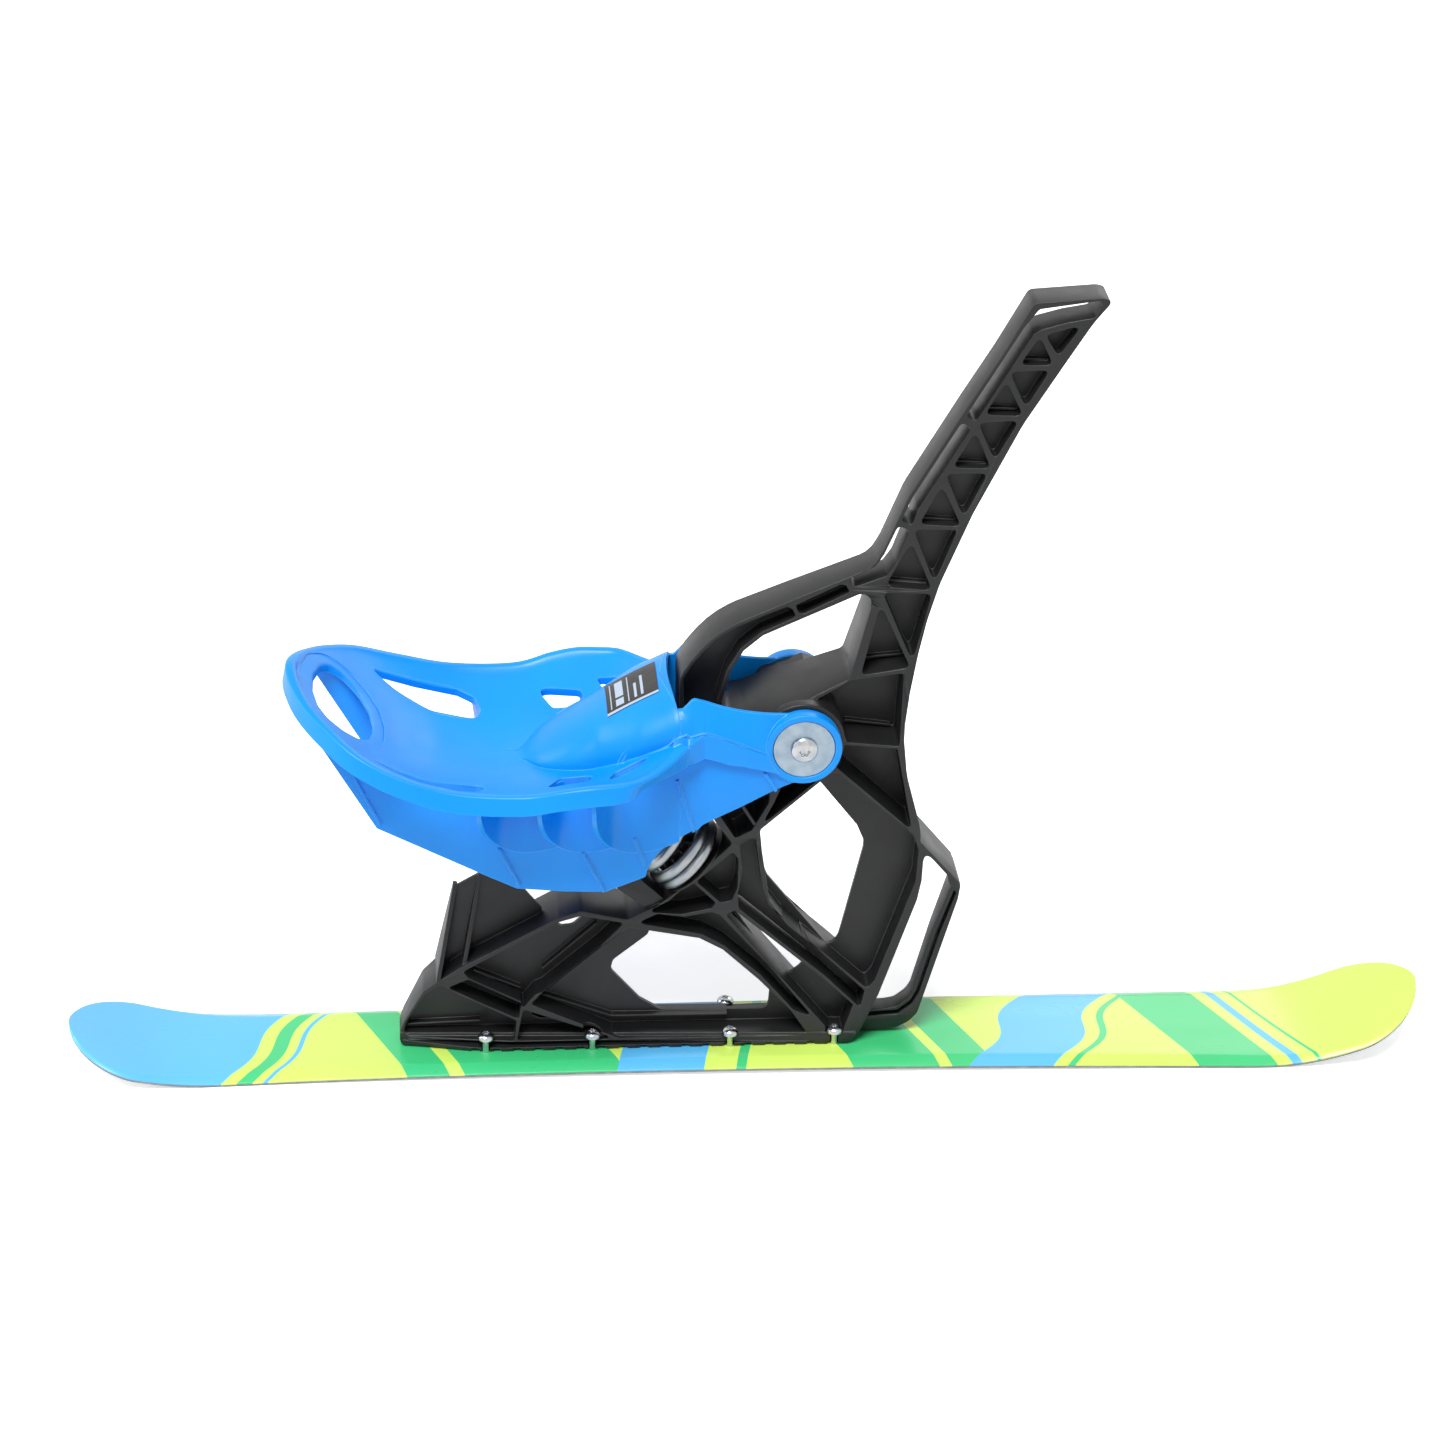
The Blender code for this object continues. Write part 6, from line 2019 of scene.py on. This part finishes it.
@dataclass
class SpringPack:
    """Coil spring with its cups, bump stop and screws."""

    finishes: Finishes
    wire: float = 4.5
    coil: float = 29.3
    start: float = 170.0
    steps: int = 40
    windings: tuple[Point2, ...] = ((1.9, 9.3), (1.9, 0.0), (1.3, 9.3))
    flange: float = 1.4
    cup: float = 4.0
    spigot: tuple[float, float, float] = (23.5, 17.0, 21.0)
    ribs: int = 14
    bore: float = 3.2
    squashed: float = 0.79

    def leaned(self, shape: Shape) -> Shape:
        """Turns a shape from the upright onto the spring's axis.

        Args:
            shape: The shape, which is changed.

        Returns:
            The same shape.
        """
        turn = Matrix.Rotation(-radians(SPRING.lean), 3, "Y")
        bmesh.ops.rotate(shape, verts=shape.verts, cent=(0, 0, 0), matrix=turn)
        bmesh.ops.translate(shape, verts=shape.verts, vec=SPRING.at(0))
        return shape

    def coil_shape(self) -> Shape:
        """Wire of the spring: close turns at both ends and open ones between them.

        Returns:
            The wire.
        """
        low = SPRING.ledge + self.flange + SPRING.gap + self.wire
        high = SPRING.space - self.cup - SPRING.gap - self.wire
        close = sum(turns * pitch for turns, pitch in self.windings)
        shape = bmesh.new()
        geometry = bmesh.ops.create_circle(shape, cap_ends=False, radius=self.wire, segments=20)["verts"]
        bmesh.ops.rotate(shape, verts=geometry, cent=(0, 0, 0), matrix=Matrix.Rotation(pi / 2, 3, "X"))
        bmesh.ops.translate(shape, verts=geometry, vec=(self.coil, 0, low))
        first = Matrix.Rotation(radians(self.start), 3, "Z")
        bmesh.ops.rotate(shape, verts=geometry, cent=(0, 0, 0), matrix=first)
        geometry = geometry + list(shape.edges)
        for turns, pitch in self.windings:
            count = round(turns * self.steps)
            rise = turns * pitch if pitch else high - low - close
            geometry = bmesh.ops.spin(shape, geom=geometry, cent=(0, 0, 0), axis=(0, 0, 1),
                                      dvec=(0, 0, rise / count), angle=tau * turns, steps=count,
                                      use_merge=False, use_duplicate=False)["geom_last"]
        bmesh.ops.holes_fill(shape, edges=[edge for edge in shape.edges if edge.is_boundary], sides=0)
        return self.leaned(clean(shape))

    def lower_cup(self) -> Shape:
        """Cup on the frame: thin flange and a ribbed spigot inside the coil.

        Returns:
            The cup.
        """
        outer, inner, top = self.spigot
        low = SPRING.ledge
        flange = low + self.flange
        profile = [(inner - 0.8, top), (inner, top - 0.8), (inner, flange), (SPRING.cup - 0.5, flange),
                   (SPRING.cup, flange - 0.5), (SPRING.cup, low), (self.bore, low), (self.bore, top)]
        cup = turned(profile, (0, 0, 1), (0, 0, 0), 64)
        fins = []
        for k in range(self.ribs):
            fin = plate([[(inner - 0.5, flange - 0.5), (outer, flange - 0.5), (outer, top - 3.5),
                          (outer - 1.5, top - 0.8), (inner - 0.5, top - 0.4)]], -0.7, 0.7, edge=0.3)
            turn = Matrix.Rotation(tau * k / self.ribs, 3, "Z")
            bmesh.ops.rotate(fin, verts=fin.verts, cent=(0, 0, 0), matrix=turn)
            fins.append(fin)
        return self.leaned(merged(cup, *fins))

    def build(self) -> None:
        """Builds the spring and its lower cup, and dresses the rest of what holds it."""
        spring = settle(self.coil_shape(), "coil_spring", self.finishes.wire, Body.FRAME, ["spring"], 50)
        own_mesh(spring)
        settle(self.lower_cup(), "ribbed_cup", self.finishes.cup, Body.FRAME, ["spring_cup_lower"], 35)
        dress("spring_cup_upper", self.finishes.cup)
        dress("bump_stop", self.finishes.stop)
        for name in ("bump_stop_screw", "cup_screw"):
            dress(name, self.finishes.zinc)


@dataclass
class InnerParts:
    """Axle and bushes."""

    finishes: Finishes

    def build(self) -> None:
        """Dresses the parts."""
        dress("pivot_axle", self.finishes.zinc)
        for side in Side:
            dress("pivot_bush_" + side.tag, self.finishes.bush)


@dataclass
class Studio:
    """Pale floor, soft lamps, even surroundings and the camera."""

    distance: float = 3.0
    target: Point3 = (-0.032, 0.0, 0.2975)
    azimuth: float = -5.41
    elevation: float = 27.76
    roll: float = 1.72
    lens: float = 95.9
    surround: float = 0.27
    sun: float = 3.3
    sun_angle: float = 26.0
    lift: float = 0.55
    sun_from: Point3 = (-0.35, -0.75, 1.6)
    floor_size: float = 9.0
    lamps: tuple[tuple[str, Point3, float, float], ...] = (
        ("left", (-2.4, 0.4, 1.3), 1.4, 16.0), ("rear", (1.3, 2.2, 1.9), 1.6, 14.0))
    aim: Point3 = (0.0, 0.0, 0.3)

    def build_floor(self) -> None:
        """Builds the floor."""
        shape = bmesh.new()
        bmesh.ops.create_grid(shape, x_segments=1, y_segments=1, size=self.floor_size)
        mesh = bpy.data.meshes.new("floor")
        shape.to_mesh(mesh)
        shape.free()
        board = Board("studio_floor")
        tone = board.span(board.noise(2.0, 2.0), 0.3, 0.7, 0.0, 1.0)
        board.feed(board.shader, {"Base Color": board.mix(tone, (0.93, 0.93, 0.93), (0.95, 0.95, 0.95))})
        board.shader.inputs["Roughness"].default_value = 0.9
        board.shader.inputs["Specular IOR Level"].default_value = 0.0
        board.shader.inputs["Emission Color"].default_value = (1, 1, 1, 1)
        seen = board.add("LightPath").outputs["Is Camera Ray"]
        board.feed(board.shader, {"Emission Strength": board.math("MULTIPLY", seen, self.lift)})
        mesh.materials.append(board.material)
        floor = bpy.data.objects.new("floor", mesh)
        bpy.context.scene.collection.objects.link(floor)

    def build_world(self) -> None:
        """Makes the surroundings: white where they are seen, softer where they light."""
        world = bpy.data.worlds.new("studio")
        world.use_nodes = True
        bpy.context.scene.world = world
        tree = world.node_tree
        light = tree.nodes["Background"]
        light.inputs["Color"].default_value = (1, 1, 1, 1)
        light.inputs["Strength"].default_value = self.surround
        seen = tree.nodes.new("ShaderNodeBackground")
        seen.inputs["Color"].default_value = (1, 1, 1, 1)
        seen.inputs["Strength"].default_value = 1.0
        rays = tree.nodes.new("ShaderNodeLightPath")
        share = rays.outputs["Is Camera Ray"]
        for ray in ("Is Glossy Ray", "Is Transmission Ray"):
            either = tree.nodes.new("ShaderNodeMath")
            either.operation = "MAXIMUM"
            tree.links.new(share, either.inputs[0])
            tree.links.new(rays.outputs[ray], either.inputs[1])
            share = either.outputs[0]
        mix = tree.nodes.new("ShaderNodeMixShader")
        tree.links.new(share, mix.inputs[0])
        tree.links.new(light.outputs[0], mix.inputs[1])
        tree.links.new(seen.outputs[0], mix.inputs[2])
        tree.links.new(mix.outputs[0], tree.nodes["World Output"].inputs["Surface"])

    def build_lamps(self) -> None:
        """Places the soft lamps."""
        sun = bpy.data.lights.new("overhead", "SUN")
        sun.energy = self.sun
        sun.angle = radians(self.sun_angle)
        holder = bpy.data.objects.new("overhead", sun)
        holder.rotation_euler = (-Vector(self.sun_from)).to_track_quat("-Z", "Y").to_euler()
        bpy.context.scene.collection.objects.link(holder)
        for name, spot, size, power in self.lamps:
            lamp = bpy.data.lights.new(name, "AREA")
            lamp.shape = "SQUARE"
            lamp.size = size
            lamp.energy = power
            holder = bpy.data.objects.new(name, lamp)
            holder.location = spot
            aim = Vector(self.aim) - Vector(spot)
            holder.rotation_euler = aim.to_track_quat("-Z", "Y").to_euler()
            bpy.context.scene.collection.objects.link(holder)

    def build_camera(self) -> None:
        """Places the camera at the angle of the photograph."""
        az, el, roll = radians(self.azimuth), radians(self.elevation), radians(self.roll)
        back = Vector((sin(az) * cos(el), -cos(az) * cos(el), sin(el)))
        right = (-back).cross(Vector((0, 0, 1))).normalized()
        up = right.cross(-back)
        turned_right = right * cos(roll) + up * sin(roll)
        turned_up = up * cos(roll) - right * sin(roll)
        matrix = Matrix((turned_right, turned_up, back)).transposed().to_4x4()
        matrix.translation = Vector(self.target) + back * self.distance
        lens = bpy.data.cameras.new("camera")
        lens.lens = self.lens
        lens.sensor_width = 36.0
        lens.sensor_fit = "HORIZONTAL"
        camera = bpy.data.objects.new("camera", lens)
        camera.matrix_world = matrix
        bpy.context.scene.collection.objects.link(camera)
        bpy.context.scene.camera = camera

    def build(self) -> None:
        """Builds the studio."""
        self.build_camera()
        self.build_floor()
        self.build_world()
        self.build_lamps()
        bpy.context.scene.view_settings.view_transform = "Standard"


def main() -> None:
    """Builds every sub-assembly."""
    Studio().build()
    finishes = Finishes()
    ski = Ski(finishes)
    ski.build()
    fasteners = Fasteners(finishes, ski)
    fasteners.build()
    FrameMoulding(finishes, ski).build(fasteners)
    Seat(finishes).build()
    SpringPack(finishes).build()
    InnerParts(finishes).build()


if __name__ == "__main__":
    main()
